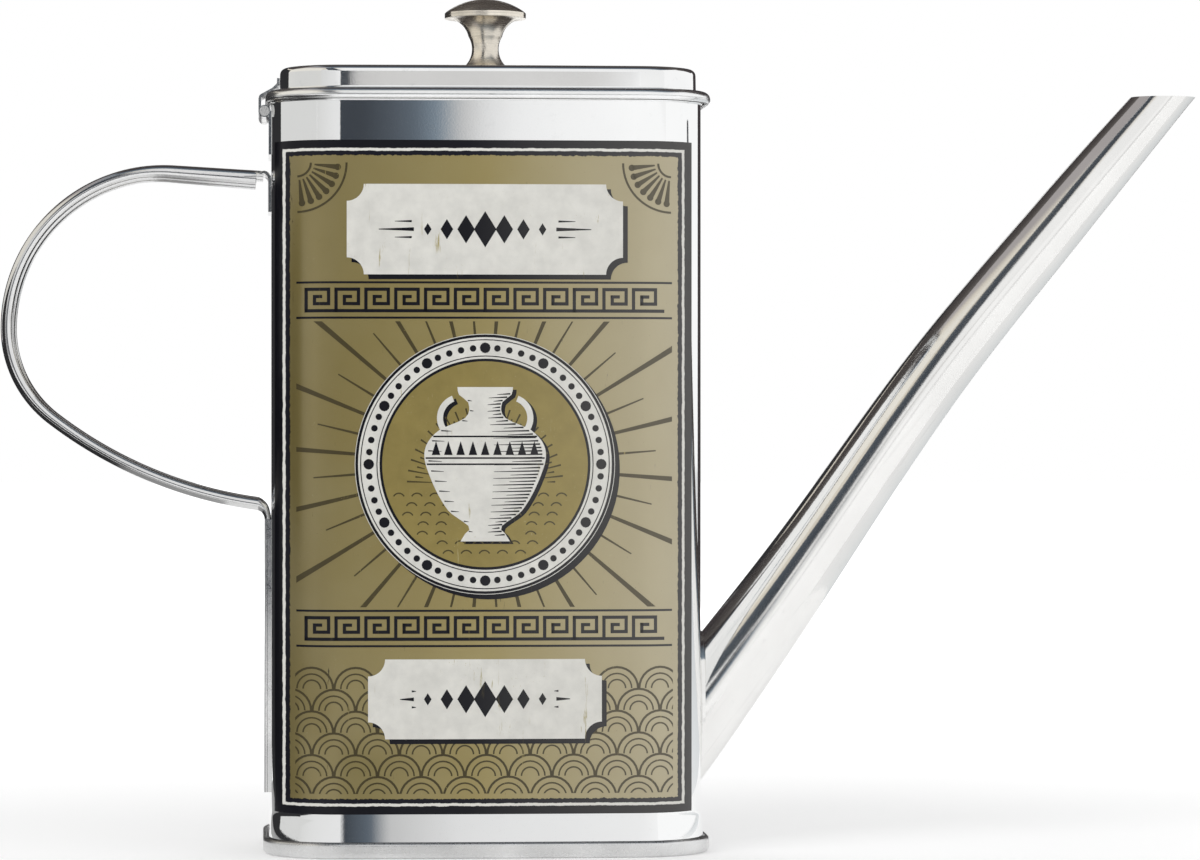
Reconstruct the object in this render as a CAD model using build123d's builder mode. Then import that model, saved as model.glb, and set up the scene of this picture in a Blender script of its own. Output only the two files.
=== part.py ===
from build123d import *
from math import cos, radians, sin, tan
import os

# An oil tin: a tall rounded-oblong tinplate body with a seamed base, a hinged lid with a turned
# knob, a strap handle with rolled edges and a long taper spout. Sizes are in millimetres.
# The origin lies on the table under the middle of the body. +X points to the spout and +Z up,
# and the printed front faces -Y.

os.makedirs("parts", exist_ok=True)

# Stock and fits
sheet = 0.4
cut_overrun = 2.0
seam_clearance = 0.02
lid_rest_clearance = 0.1
pin_clearance = 0.05
pin_press_clearance = 0.01
thread_clearance = 0.05

# Body
body_width = 82.0
body_depth = 50.0
corner_radius = 13.0
face_bow = 1.0
mouth_height = 144.5
mouth_curl_out = 0.5
mouth_curl_height = 2.0
mouth_curl_radius = 1.2
mouth_curl_under_radius = 0.45
foot_flare = 0.5
flare_height = 4.6
side_seam_width = 3.0
side_seam_thickness = 0.8
side_seam_gap = 0.5

# Base and its double seam
seam_height = 3.1
seam_out = 1.6
seam_bottom_radius = 1.0
seam_top_radius = 0.7
seam_fold = 0.6
base_recess = 2.2

# Lid
lid_shift = 0.35
bead_out = 1.5
bead_overlap = 1.8
bead_radius = 2.1
band_inset = 1.25
band_height = 4.3
band_top_radius = 1.3

# Knob and its screw
knob_height = 14.5
knob_rim_radius = 7.85
knob_rim_height = 1.3
knob_rim_chamfer = 0.3
knob_dome_height = 2.45
knob_under_radius = 6.9
knob_crease_radius = 3.25
knob_crease_height = 7.3
knob_cone_hollow = 0.55
knob_neck_radius = 2.6
knob_neck_height = 5.4
knob_foot_radius = 4.9
knob_foot_height = 0.9
screw_radius = 1.5
screw_reach = 5.5
screw_head_radius = 2.8
screw_head_height = 1.6
screw_slot_width = 0.8
screw_slot_depth = 0.7
screw_hole_clearance = 0.1
washer_radius = 3.5
washer_thickness = 0.5

# Hinge
hinge_drop = 3.2
hinge_out = 1.3
hinge_width = 22.0
pin_radius = 0.6
knuckle_radius = 1.15
lid_knuckle_width = 10.8
knuckle_gap = 0.25
leaf_thickness = 0.5
body_leaf_length = 8.3
body_leaf_notch = 2.4
leaf_bend_radius = 0.8
leaf_seat_height = 1.1
leaf_foot_height = 0.9
leaf_lift_share = 0.22
pin_head_radius = 0.95
pin_head_height = 0.4

# Handle
strap_thickness = 0.6
strap_width = 15.0
hem_radius = 1.2
hem_bore_inset = 0.15
handle_reach = 92.6
handle_top_drop = 13.3
handle_root_run = 18.6
handle_heel_radius = 23.0
handle_root_slope = 3.4
handle_heel_slope = 37.6
handle_foot_slope = 7.8
handle_tab_length = 6.4
handle_tab_bend = 1.2
handle_hem_start = 2.9
handle_low_bend = 2.0
handle_leg_end = 11.2
leg_fold_thickness = 0.7
leg_fold_width = 3.0

# Spout
spout_wall = 0.5
spout_root_height = 25.8
spout_tip_height = 145.4
spout_tip_reach = 91.9
spout_root_slope = 52.0
spout_tip_slope = 48.0
spout_root_radius = 8.75
spout_tip_radius = 4.65
spout_line_shares = [(0.194, 0.202), (0.513, 0.550), (0.785, 0.806)]
spout_girth_shares = [
    (0.00, 1.10),
    (0.16, 0.86),
    (0.34, 0.57),
    (0.60, 0.38),
    (0.82, 0.20),
    (1.00, -0.04),
]
spout_lip_out = 1.2
spout_lip_thickness = 0.5
spout_root_length = 12.0
spout_tip_length = 8.0
port_ledge = 1.5

# Printed panel
label_thickness = 0.15
label_bottom = 8.3
label_top = 135.0
label_left_margin = 0.6
label_right_margin = 2.4

# Levels and places that follow from the sizes
side_x = body_width / 2
flange_bottom = mouth_height + lid_rest_clearance
flange_top = flange_bottom + sheet
bead_bottom = mouth_height - bead_overlap
lid_top = flange_top + band_height
pin_height = mouth_height - hinge_drop
pin_x = -side_x - hinge_out
flare_top = seam_height + flare_height
curl_bottom = mouth_height - mouth_curl_height


def tin_plan(grow):
    """Plan outline of the body wall's outer face, moved outward by grow."""
    front = body_depth / 2
    shoulder = front - face_bow
    with BuildSketch() as plan:
        with BuildLine():
            ThreePointArc((-side_x, -shoulder), (0, -front), (side_x, -shoulder))
            Line((side_x, -shoulder), (side_x, shoulder))
            ThreePointArc((side_x, shoulder), (0, front), (-side_x, shoulder))
            Line((-side_x, shoulder), (-side_x, -shoulder))
        make_face()
        fillet(plan.vertices(), corner_radius)
        if grow:
            offset(amount=grow)
    return plan.sketch


def tin_block(low, high, grow, shift=0):
    """Solid block of the plan outline between two heights, shifted along X."""
    with BuildPart() as block:
        with BuildSketch(Plane((shift, 0, low))):
            add(tin_plan(grow))
        extrude(amount=high - low)
    return block.part


def tin_flare(low, high, low_grow, high_grow):
    """Solid block whose plan outline changes from one size to another."""
    with BuildPart() as block:
        with BuildSketch(Plane.XY.offset(low)):
            add(tin_plan(low_grow))
        with BuildSketch(Plane.XY.offset(high)):
            add(tin_plan(high_grow))
        loft()
    return block.part


# Spout centre line in the XZ plane, run on past both ends so that the cuts are clean
root_slope = radians(spout_root_slope)
tip_slope = radians(spout_tip_slope)
root_run = (cos(root_slope), sin(root_slope))
tip_run = (cos(tip_slope), sin(tip_slope))
spout_root = (side_x, spout_root_height)
spout_rise = spout_tip_height - spout_root_height
spout_tip = (side_x + spout_tip_reach, spout_tip_height)
spout_start = (
    side_x - spout_root_length * root_run[0],
    spout_root_height - spout_root_length * root_run[1],
)
spout_end = (
    spout_tip[0] + spout_tip_length * tip_run[0],
    spout_tip[1] + spout_tip_length * tip_run[1],
)
spout_middle = [
    (side_x + spout_tip_reach * across, spout_root_height + spout_rise * up)
    for across, up in spout_line_shares
]
with BuildLine(Plane.XZ) as spout_line:
    Spline(
        [spout_start, spout_root] + spout_middle + [spout_tip, spout_end],
        tangents=[root_run, tip_run],
    )
spout_path = spout_line.wires()[0]


def spout_solid(inset):
    """Taper solid along the spout's centre line, its radius less by inset."""
    with BuildPart() as taper:
        for along, girth in spout_girth_shares:
            radius = spout_tip_radius + girth * (spout_root_radius - spout_tip_radius) - inset
            station = Plane(
                origin=spout_path @ along, x_dir=(0, 1, 0), z_dir=spout_path % along
            )
            with BuildSketch(station):
                Circle(radius)
        loft()
    return taper.part


# Body wall with its curled mouth, flared foot, side seam and the port behind the spout
port_half_width = spout_root_radius - spout_wall - port_ledge
port_half_height = (spout_root_radius - spout_wall) / cos(root_slope) - port_ledge
with BuildPart() as body_shell:
    add(tin_block(curl_bottom, mouth_height, mouth_curl_out))
    fillet(body_shell.edges().group_by(Axis.Z)[-1], mouth_curl_radius)
    fillet(body_shell.edges().group_by(Axis.Z)[0], mouth_curl_under_radius)
    add(tin_block(flare_top, curl_bottom, 0))
    add(tin_flare(seam_height, flare_top, foot_flare, 0))
    add(tin_block(seam_fold, seam_height, foot_flare))
    add(tin_block(flare_top, mouth_height + cut_overrun, -sheet), mode=Mode.SUBTRACT)
    add(tin_flare(seam_height, flare_top, foot_flare - sheet, -sheet), mode=Mode.SUBTRACT)
    add(tin_block(seam_fold - cut_overrun, seam_height, foot_flare - sheet), mode=Mode.SUBTRACT)
    seam_low = flare_top + side_seam_gap
    with BuildSketch(Plane.XY.offset(seam_low)):
        with Locations((-side_x + sheet, 0)):
            Rectangle(
                side_seam_thickness, side_seam_width, align=(Align.MIN, Align.CENTER)
            )
    extrude(amount=curl_bottom - seam_low)
    with BuildSketch(Plane.YZ.offset(side_x - cut_overrun)):
        with Locations((0, spout_root_height)):
            Ellipse(port_half_width, port_half_height)
    extrude(amount=2 * cut_overrun, mode=Mode.SUBTRACT)
body_shell.part.label = "body_shell"
export_step(body_shell.part, "parts/body_shell.step")

# Base pressed from sheet, its edge folded round the wall's foot in a double seam
fold_outer = foot_flare + seam_clearance
fold_inner = foot_flare - sheet - seam_clearance
panel_edge = fold_inner - sheet
with BuildPart() as base_pan:
    add(tin_block(0, seam_height, seam_out))
    fillet(base_pan.edges().group_by(Axis.Z)[0], seam_bottom_radius)
    fillet(base_pan.edges().group_by(Axis.Z)[-1], seam_top_radius)
    add(tin_block(seam_fold, seam_height + cut_overrun, fold_outer), mode=Mode.SUBTRACT)
    add(tin_block(0, seam_height, fold_inner))
    add(tin_block(-cut_overrun, base_recess, panel_edge), mode=Mode.SUBTRACT)
    add(
        tin_block(base_recess + sheet, seam_height + cut_overrun, panel_edge),
        mode=Mode.SUBTRACT,
    )
base_pan.part.label = "base_pan"
export_step(base_pan.part, "parts/base_pan.step")

# Lid pressed from sheet: a raised band above a rolled bead that covers the mouth curl
hole_radius = screw_radius + screw_hole_clearance
with BuildPart() as lid_form:
    add(tin_block(bead_bottom, flange_top, bead_out, lid_shift))
    fillet(lid_form.edges().group_by(Axis.Z)[-1], bead_radius)
    add(tin_block(flange_top, lid_top, -band_inset, lid_shift))
    fillet(lid_form.edges().group_by(Axis.Z)[-1], band_top_radius)
with BuildPart() as lid_hollow:
    add(tin_block(bead_bottom, flange_bottom, bead_out - sheet, lid_shift))
    fillet(lid_hollow.edges().group_by(Axis.Z)[-1], bead_radius - sheet)
    add(tin_block(flange_bottom, lid_top - sheet, -band_inset - sheet, lid_shift))
    fillet(lid_hollow.edges().group_by(Axis.Z)[-1], band_top_radius - sheet)
with BuildPart() as lid_shell:
    add(lid_form.part)
    add(lid_hollow.part, mode=Mode.SUBTRACT)
    with BuildSketch(Plane((lid_shift, 0, lid_top - sheet - cut_overrun))):
        Circle(hole_radius)
    extrude(amount=2 * cut_overrun, mode=Mode.SUBTRACT)
lid_shell.part.label = "lid_shell"
export_step(lid_shell.part, "parts/lid_shell.step")

# Turned knob: a domed cap with a narrow rim, a hollowed cone, a waisted neck and a small foot
rim_top = knob_height - knob_dome_height
rim_bottom = rim_top - knob_rim_height
dome_side = knob_rim_radius - knob_rim_chamfer
dome_sphere = (dome_side**2 + knob_dome_height**2) / (2 * knob_dome_height)
dome_middle = (
    dome_side / 2,
    knob_height - dome_sphere + (dome_sphere**2 - (dome_side / 2) ** 2) ** 0.5,
)
cone_middle = (
    (knob_under_radius + knob_crease_radius) / 2 - knob_cone_hollow,
    (rim_bottom + knob_crease_height) / 2 + knob_cone_hollow,
)
knob_plane = Plane(origin=(lid_shift, 0, lid_top), x_dir=(1, 0, 0), z_dir=(0, -1, 0))
with BuildPart() as knob:
    with BuildSketch(knob_plane):
        with BuildLine():
            ThreePointArc((0, knob_height), dome_middle, (dome_side, rim_top))
            Polyline(
                (dome_side, rim_top),
                (knob_rim_radius, rim_top - knob_rim_chamfer),
                (knob_rim_radius, rim_bottom),
                (knob_under_radius, rim_bottom),
            )
            ThreePointArc(
                (knob_under_radius, rim_bottom),
                cone_middle,
                (knob_crease_radius, knob_crease_height),
            )
            ThreePointArc(
                (knob_crease_radius, knob_crease_height),
                (knob_neck_radius, knob_neck_height),
                (knob_foot_radius, knob_foot_height),
            )
            Polyline(
                (knob_foot_radius, knob_foot_height), (knob_foot_radius, 0), (0, 0), (0, knob_height)
            )
        make_face()
    revolve(axis=Axis((lid_shift, 0, 0), (0, 0, 1)))
    with BuildSketch(Plane((lid_shift, 0, lid_top - cut_overrun))):
        Circle(screw_radius)
    extrude(amount=cut_overrun + screw_reach, mode=Mode.SUBTRACT)
knob.part.label = "knob"
export_step(knob.part, "parts/knob.step")

# Washer and slotted screw under the lid
under_lid = lid_top - sheet
with BuildPart() as knob_washer:
    with BuildSketch(Plane((lid_shift, 0, under_lid - washer_thickness))):
        Circle(washer_radius)
        Circle(hole_radius, mode=Mode.SUBTRACT)
    extrude(amount=washer_thickness)
knob_washer.part.label = "knob_washer"
export_step(knob_washer.part, "parts/knob_washer.step")

head_top = under_lid - washer_thickness
head_bottom = head_top - screw_head_height
with BuildPart() as knob_screw:
    with BuildSketch(Plane((lid_shift, 0, head_bottom))):
        Circle(screw_head_radius)
    extrude(amount=screw_head_height)
    fillet(knob_screw.edges().group_by(Axis.Z)[0], screw_head_height / 2)
    with BuildSketch(Plane((lid_shift, 0, head_top))):
        Circle(screw_radius - thread_clearance)
    extrude(amount=washer_thickness + sheet + screw_reach - screw_slot_depth)
    with BuildSketch(Plane((lid_shift, 0, head_bottom))):
        Rectangle(2 * screw_head_radius + cut_overrun, screw_slot_width)
    extrude(amount=screw_slot_depth, mode=Mode.SUBTRACT)
knob_screw.part.label = "knob_screw"
export_step(knob_screw.part, "parts/knob_screw.step")

# Hinge leaf on the body: a soldered plate with two outer knuckles, notched for the middle one
body_knuckle_inner = lid_knuckle_width / 2 + knuckle_gap
body_knuckle_width = hinge_width / 2 - body_knuckle_inner
knuckle_line = Plane(origin=(pin_x, 0, pin_height), x_dir=(1, 0, 0), z_dir=(0, 1, 0))
with BuildPart() as hinge_body_leaf:
    with BuildSketch(Plane.YZ.offset(-side_x - leaf_thickness)):
        with Locations((0, pin_height)):
            Rectangle(hinge_width, body_leaf_length, align=(Align.CENTER, Align.MAX))
        with Locations((0, pin_height + cut_overrun)):
            Rectangle(
                2 * body_knuckle_inner,
                body_leaf_notch + cut_overrun,
                align=(Align.CENTER, Align.MAX),
                mode=Mode.SUBTRACT,
            )
    extrude(amount=leaf_thickness)
    for start in (-hinge_width / 2, body_knuckle_inner):
        with BuildSketch(knuckle_line.offset(start)):
            Circle(knuckle_radius)
        extrude(amount=body_knuckle_width)
    with BuildSketch(knuckle_line.offset(-hinge_width / 2)):
        Circle(pin_radius + pin_press_clearance)
    extrude(amount=hinge_width, mode=Mode.SUBTRACT)
hinge_body_leaf.part.label = "hinge_body_leaf"
export_step(hinge_body_leaf.part, "parts/hinge_body_leaf.step")

# Hinge leaf on the lid: a strip from the band, over the bead, to the middle knuckle
leaf_line = leaf_thickness / 2
band_x = lid_shift - side_x + band_inset
knuckle_side = pin_x - knuckle_radius + leaf_line
leaf_seat_z = flange_top + band_height - band_top_radius
leaf_route = [
    (band_x - leaf_line, leaf_seat_z),
    (band_x - leaf_line, leaf_seat_z - leaf_seat_height),
    (band_x - leaf_line - bead_radius / 2, flange_top + leaf_foot_height),
    (knuckle_side, flange_top - bead_radius * leaf_lift_share),
    (knuckle_side, pin_height),
]
with BuildPart() as hinge_lid_leaf:
    with BuildSketch(Plane.XZ):
        with BuildLine():
            FilletPolyline(*leaf_route, radius=leaf_bend_radius)
        trace(line_width=leaf_thickness)
    extrude(amount=lid_knuckle_width / 2, both=True)
    with BuildSketch(knuckle_line.offset(-lid_knuckle_width / 2)):
        Circle(knuckle_radius)
    extrude(amount=lid_knuckle_width)
    with BuildSketch(knuckle_line.offset(-lid_knuckle_width / 2)):
        Circle(pin_radius + pin_clearance)
    extrude(amount=lid_knuckle_width, mode=Mode.SUBTRACT)
hinge_lid_leaf.part.label = "hinge_lid_leaf"
export_step(hinge_lid_leaf.part, "parts/hinge_lid_leaf.step")

# Hinge pin with a peened head at each end
with BuildPart() as hinge_pin:
    with BuildSketch(knuckle_line.offset(-hinge_width / 2)):
        Circle(pin_radius)
    extrude(amount=hinge_width)
    for start in (-hinge_width / 2 - pin_head_height, hinge_width / 2):
        with BuildSketch(knuckle_line.offset(start)):
            Circle(pin_head_radius)
        extrude(amount=pin_head_height)
hinge_pin.part.label = "hinge_pin"
export_step(hinge_pin.part, "parts/hinge_pin.step")

# Handle line in the XZ plane, along the middle of the strap's thickness
web_line = strap_thickness / 2
heel_radius = handle_heel_radius - web_line
root_tilt = radians(handle_root_slope)
heel_tilt = radians(handle_heel_slope)
foot_tilt = radians(handle_foot_slope)
belly_x = -handle_reach + web_line
crown_end_x = -side_x - handle_root_run
crown_radius = (crown_end_x - belly_x) / (1 + sin(root_tilt))
belly_z = mouth_height - handle_top_drop - web_line - crown_radius
crown_end = (crown_end_x, belly_z + crown_radius * cos(root_tilt))
root_heading = (-cos(root_tilt), sin(root_tilt))
tab_x = -side_x - web_line
tab_turn = handle_tab_bend * (1 - sin(root_tilt))
bend_start = (
    tab_x - tab_turn,
    crown_end[1] - (tab_x - tab_turn - crown_end[0]) * tan(root_tilt),
)
hem_start_x = -side_x - handle_hem_start
hem_start = (hem_start_x, crown_end[1] - (hem_start_x - crown_end[0]) * tan(root_tilt))
leg_x = -side_x - leg_fold_thickness - web_line
heel_end_x = belly_x + heel_radius * (1 - sin(heel_tilt))
low_turn = handle_low_bend * (1 - sin(foot_tilt))
run_radius = (leg_x - low_turn - heel_end_x) / (sin(heel_tilt) - sin(foot_tilt))
with BuildLine(Plane.XZ) as loop_line:
    Line(hem_start, crown_end)
    crown = JernArc(crown_end, root_heading, crown_radius, 90 + handle_root_slope)
    heel = JernArc(crown @ 1, crown % 1, heel_radius, 90 - handle_heel_slope)
    run = JernArc(heel @ 1, heel % 1, run_radius, handle_heel_slope - handle_foot_slope)
loop_path = loop_line.wires()[0]
loop_end = loop_path @ 1
loop_heading = loop_path % 1
hem_frame = Plane(origin=loop_path @ 0, x_dir=(0, 1, 0), z_dir=loop_path % 0)
hem_offset = strap_width / 2 - hem_radius
hem_bore = hem_radius - strap_thickness - hem_bore_inset
with BuildPart() as handle_strap:
    # Loop: the web between two rolled edges, hollow like the sheet they are rolled from
    with BuildSketch(hem_frame):
        Rectangle(2 * hem_offset, strap_thickness)
        with Locations((-hem_offset, hem_radius - web_line), (hem_offset, hem_radius - web_line)):
            Circle(hem_radius)
        with Locations((-hem_offset, hem_radius - web_line), (hem_offset, hem_radius - web_line)):
            Circle(hem_bore, mode=Mode.SUBTRACT)
    sweep(path=loop_path)
    # Top tab
    with BuildSketch(Plane.XZ):
        with BuildLine():
            Line(hem_start, bend_start)
            bend = JernArc(
                bend_start, (cos(root_tilt), -sin(root_tilt)), handle_tab_bend,
                handle_root_slope - 90
            )
            tab_top = bend @ 1
            Line(tab_top, (tab_x, tab_top.Y - handle_tab_length))
        trace(line_width=strap_thickness)
    extrude(amount=strap_width / 2, both=True)
    # Lower bend and the long leg, with its edges folded flat against the wall
    with BuildSketch(Plane.XZ):
        with BuildLine():
            bend = JernArc(
                (loop_end.X, loop_end.Z), (loop_heading.X, loop_heading.Z), handle_low_bend,
                handle_foot_slope - 90
            )
            leg_top = bend @ 1
            Line(leg_top, (leg_x, handle_leg_end))
        trace(line_width=strap_thickness)
    extrude(amount=strap_width / 2, both=True)
    fold_middle = strap_width / 2 - leg_fold_width / 2
    with BuildSketch(Plane.YZ.offset(-side_x - leg_fold_thickness)):
        with Locations((-fold_middle, handle_leg_end), (fold_middle, handle_leg_end)):
            Rectangle(
                leg_fold_width, leg_top.Y - handle_leg_end, align=(Align.CENTER, Align.MIN)
            )
    extrude(amount=leg_fold_thickness)
handle_strap.part.label = "handle_strap"
export_step(handle_strap.part, "parts/handle_strap.step")

# Spout with a soldered lip round its root, cut level at the mouth
with BuildPart() as spout_tube:
    add(spout_solid(0))
    with BuildSketch(Plane.YZ.offset(side_x)):
        with Locations((0, spout_root_height)):
            Ellipse(
                spout_root_radius + spout_lip_out,
                spout_root_radius / cos(root_slope) + spout_lip_out,
            )
    extrude(amount=spout_lip_thickness)
    add(spout_solid(spout_wall), mode=Mode.SUBTRACT)
    split(bisect_by=Plane.YZ.offset(side_x), keep=Keep.TOP)
    split(bisect_by=Plane.XY.offset(spout_tip_height), keep=Keep.BOTTOM)
spout_tube.part.label = "spout_tube"
export_step(spout_tube.part, "parts/spout_tube.step")

# Printed panel, wrapped onto both front corners
label_width = body_width - label_left_margin - label_right_margin
with BuildPart() as front_label:
    add(tin_block(label_bottom, label_top, label_thickness))
    add(
        tin_block(label_bottom - cut_overrun, label_top + cut_overrun, 0),
        mode=Mode.SUBTRACT,
    )
    with BuildSketch(Plane.XY.offset(label_bottom)):
        with Locations((label_left_margin - side_x, 0)):
            Rectangle(label_width, body_depth, align=(Align.MIN, Align.MAX))
    extrude(amount=label_top - label_bottom, mode=Mode.INTERSECT)
front_label.part.label = "front_label"
export_step(front_label.part, "parts/front_label.step")
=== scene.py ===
from math import atan2, cos, hypot, pi, radians, sin, sqrt, tan

import bmesh
import bpy
from bpy.props import FloatProperty, FloatVectorProperty, IntProperty, PointerProperty
from mathutils import Matrix, Vector


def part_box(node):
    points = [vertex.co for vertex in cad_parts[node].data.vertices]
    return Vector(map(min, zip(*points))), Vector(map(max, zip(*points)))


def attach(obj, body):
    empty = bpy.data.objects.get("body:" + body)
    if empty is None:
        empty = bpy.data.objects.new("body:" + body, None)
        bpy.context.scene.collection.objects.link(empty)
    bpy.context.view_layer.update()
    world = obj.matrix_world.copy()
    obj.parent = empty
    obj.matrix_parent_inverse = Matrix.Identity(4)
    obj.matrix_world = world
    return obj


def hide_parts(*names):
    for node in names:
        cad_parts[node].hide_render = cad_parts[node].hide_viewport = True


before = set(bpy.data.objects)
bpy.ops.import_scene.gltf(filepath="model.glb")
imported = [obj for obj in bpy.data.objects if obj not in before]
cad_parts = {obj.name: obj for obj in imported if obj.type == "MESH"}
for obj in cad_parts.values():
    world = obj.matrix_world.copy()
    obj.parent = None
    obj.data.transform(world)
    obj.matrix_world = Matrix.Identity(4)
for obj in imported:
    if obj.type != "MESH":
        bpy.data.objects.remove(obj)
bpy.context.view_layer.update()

bl_info = {
    "name": "Oil Tin with Spout",
    "version": (1, 0, 0),
    "blender": (4, 5, 0),
    "location": "View3D > Sidebar > Oil Tin",
    "description": "Builds the visible pieces of a tinplate oil tin on its packed frame",
    "category": "Object",
}

# Places that the frame fixes, in metres
wall_low, wall_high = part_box("body_shell")
base_low, base_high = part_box("base_pan")
lid_low, lid_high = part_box("lid_shell")
knob_low, knob_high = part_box("knob")
leaf_low, leaf_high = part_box("hinge_body_leaf")
handle_low, handle_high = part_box("handle_strap")
spout_low, spout_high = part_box("spout_tube")
label_low, label_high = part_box("front_label")
half_width = -leaf_high.x
mouth_height = wall_high.z
lid_shift = (lid_low.x + lid_high.x) / 2
MM = 0.001
HAIR = 0.001 * MM  # Points closer than this are one


def size(name, description, default):
    """A length that a user may change."""
    return FloatProperty(
        name=name, description=description, default=default, unit="LENGTH", precision=5
    )


def share(name, description, default):
    """A plain number from 0 to 1."""
    return FloatProperty(name=name, description=description, default=default, min=0, max=1)


def colour(name, description, default):
    """A linear colour."""
    return FloatVectorProperty(
        name=name, description=description, default=default, size=3, min=0, max=1,
        subtype="COLOR",
    )


def slant(name, description, degrees):
    """An angle that is written in degrees."""
    return FloatProperty(
        name=name, description=description, default=radians(degrees), subtype="ANGLE"
    )


class TinSizes(bpy.types.PropertyGroup):
    """Sizes of the wall, base and lid"""
    sheet: size("Sheet", "Thickness of the tinplate", 0.4 * MM)
    half_depth: size("Half depth", "From the middle to the front of the wall", 25 * MM)
    corner_radius: size("Corner radius", "Radius of the four upright corners", 13 * MM)
    face_bow: size("Face bow", "How far the front and back stand out", 1 * MM)
    curl_out: size("Curl out", "How far the mouth's curl stands out", 0.5 * MM)
    curl_height: size("Curl height", "Height of the mouth's curl", 2 * MM)
    curl_radius: size("Curl radius", "Radius on top of the curl", 1.2 * MM)
    foot_flare: size("Foot flare", "How far the wall opens at its foot", 0.5 * MM)
    flare_height: size("Flare height", "Height of the flared part", 4.6 * MM)
    flare_radius: size("Flare radius", "Radius of the bend into the flare", 9 * MM)
    seam_recess: size("Seam recess", "How high the bottom panel lies", 2.2 * MM)
    seam_radius: size("Seam radius", "Radius along the base seam", 1 * MM)
    band_inset: size("Band inset", "How far the lid's band stands in", 1.25 * MM)
    band_height: size("Band height", "Height of the lid's band", 4.3 * MM)
    band_draft: size("Band draft", "How far the band leans in towards its top", 0.08 * MM)
    band_radius: size("Band radius", "Radius round the lid's top", 1.15 * MM)
    bead_radius: size("Bead radius", "Radius over the lid's bead", 1.35 * MM)
    bead_under: size("Bead under", "Radius below the lid's bead", 0.8 * MM)


class KnobSizes(bpy.types.PropertyGroup):
    """Sizes of the turned knob"""
    rim_height: size("Rim height", "Height of the bright rim", 1.3 * MM)
    rim_chamfer: size("Rim chamfer", "Chamfer over the rim", 0.3 * MM)
    dome_height: size("Dome height", "Rise of the domed top", 2.45 * MM)
    under_radius: size("Under radius", "Radius inside the rim", 6.9 * MM)
    crease_radius: size("Crease radius", "Radius of the crease below the cone", 3.25 * MM)
    crease_height: size("Crease height", "Height of that crease", 7.3 * MM)
    cone_hollow: size("Cone hollow", "How far the cone is hollowed", 0.55 * MM)
    neck_radius: size("Neck radius", "Radius of the neck", 2.6 * MM)
    neck_height: size("Neck height", "Height of the neck's waist", 5.4 * MM)
    foot_radius: size("Foot radius", "Radius of the foot", 4.9 * MM)
    foot_height: size("Foot height", "Height of the foot's edge", 0.9 * MM)


class HandleSizes(bpy.types.PropertyGroup):
    """Sizes of the strap handle"""
    strap: size("Strap", "Thickness of the strap", 0.6 * MM)
    hem_radius: size("Hem radius", "Radius of the rolled edges", 1.2 * MM)
    hem_bore: size("Hem bore", "Radius of the hole along a rolled edge", 0.45 * MM)
    root_run: size("Root run", "Straight length at the top end", 18.6 * MM)
    heel_radius: size("Heel radius", "Radius of the lower bend", 23 * MM)
    root_slope: slant("Root slope", "Slope of the top end", 3.4)
    heel_slope: slant("Heel slope", "Slope where the lower bend ends", 37.6)
    foot_slope: slant("Foot slope", "Slope where the handle meets the leg", 7.8)
    hem_start: size("Hem start", "Where the rolled edges start", 2.9 * MM)
    stub_gap: size("Stub gap", "Where the pressed end of the rolled edges stops", 1.5 * MM)
    hem_swell: share("Hem swell", "How much fuller the rolled edges are at the top end", 0.27)
    stub_share: share("Stub share", "How thick that pressed end stays", 0.6)
    tab_length: size("Tab length", "Length of the tab at the top end", 6.4 * MM)
    tab_bend: size("Tab bend", "Radius into the tab", 1.2 * MM)
    low_bend: size("Low bend", "Radius into the leg", 2 * MM)
    leg_fold: size("Leg fold", "Thickness of the leg's folded edges", 0.7 * MM)
    fold_width: size("Fold width", "Width of the leg's folded edges", 3 * MM)


class SpoutSizes(bpy.types.PropertyGroup):
    """Sizes of the taper spout"""
    wall: size("Wall", "Thickness of the spout's sheet", 0.5 * MM)
    root_height: size("Root height", "Height of the line at the wall", 25.8 * MM)
    tip_reach: size("Tip reach", "Reach of the line past the wall", 91.9 * MM)
    root_slope: slant("Root slope", "Slope of the line at the wall", 52)
    tip_slope: slant("Tip slope", "Slope of the line at the mouth", 48)
    root_radius: size("Root radius", "Radius at the wall", 8.75 * MM)
    tip_radius: size("Tip radius", "Radius at the mouth", 4.65 * MM)
    root_length: size("Root length", "Run of the line inside the wall", 12 * MM)
    tip_length: size("Tip length", "Run of the line past the mouth", 8 * MM)
    lip_out: size("Lip out", "Width of the soldered lip", 1.2 * MM)
    lip_height: size("Lip height", "Thickness of the soldered lip", 0.5 * MM)


class LabelSizes(bpy.types.PropertyGroup):
    """Sizes of the printed panel"""
    skin: size("Skin", "Thickness of the panel", 0.15 * MM)
    ink: size("Ink", "Thickness of one layer of ink", 0.02 * MM)
    border: size("Border", "Width of the black border", 1.5 * MM)
    white_line: size("White line", "Width of the white line", 0.52 * MM)
    dark_line: size("Dark line", "Width of the dark inner line", 0.85 * MM)
    medallion: size("Medallion", "Radius of the round middle motif", 24.5 * MM)
    ray_count: IntProperty(name="Rays", description="Rays round the medallion", default=40)
    key_width: size("Key width", "Width of one key in the key bands", 5.6 * MM)


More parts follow.
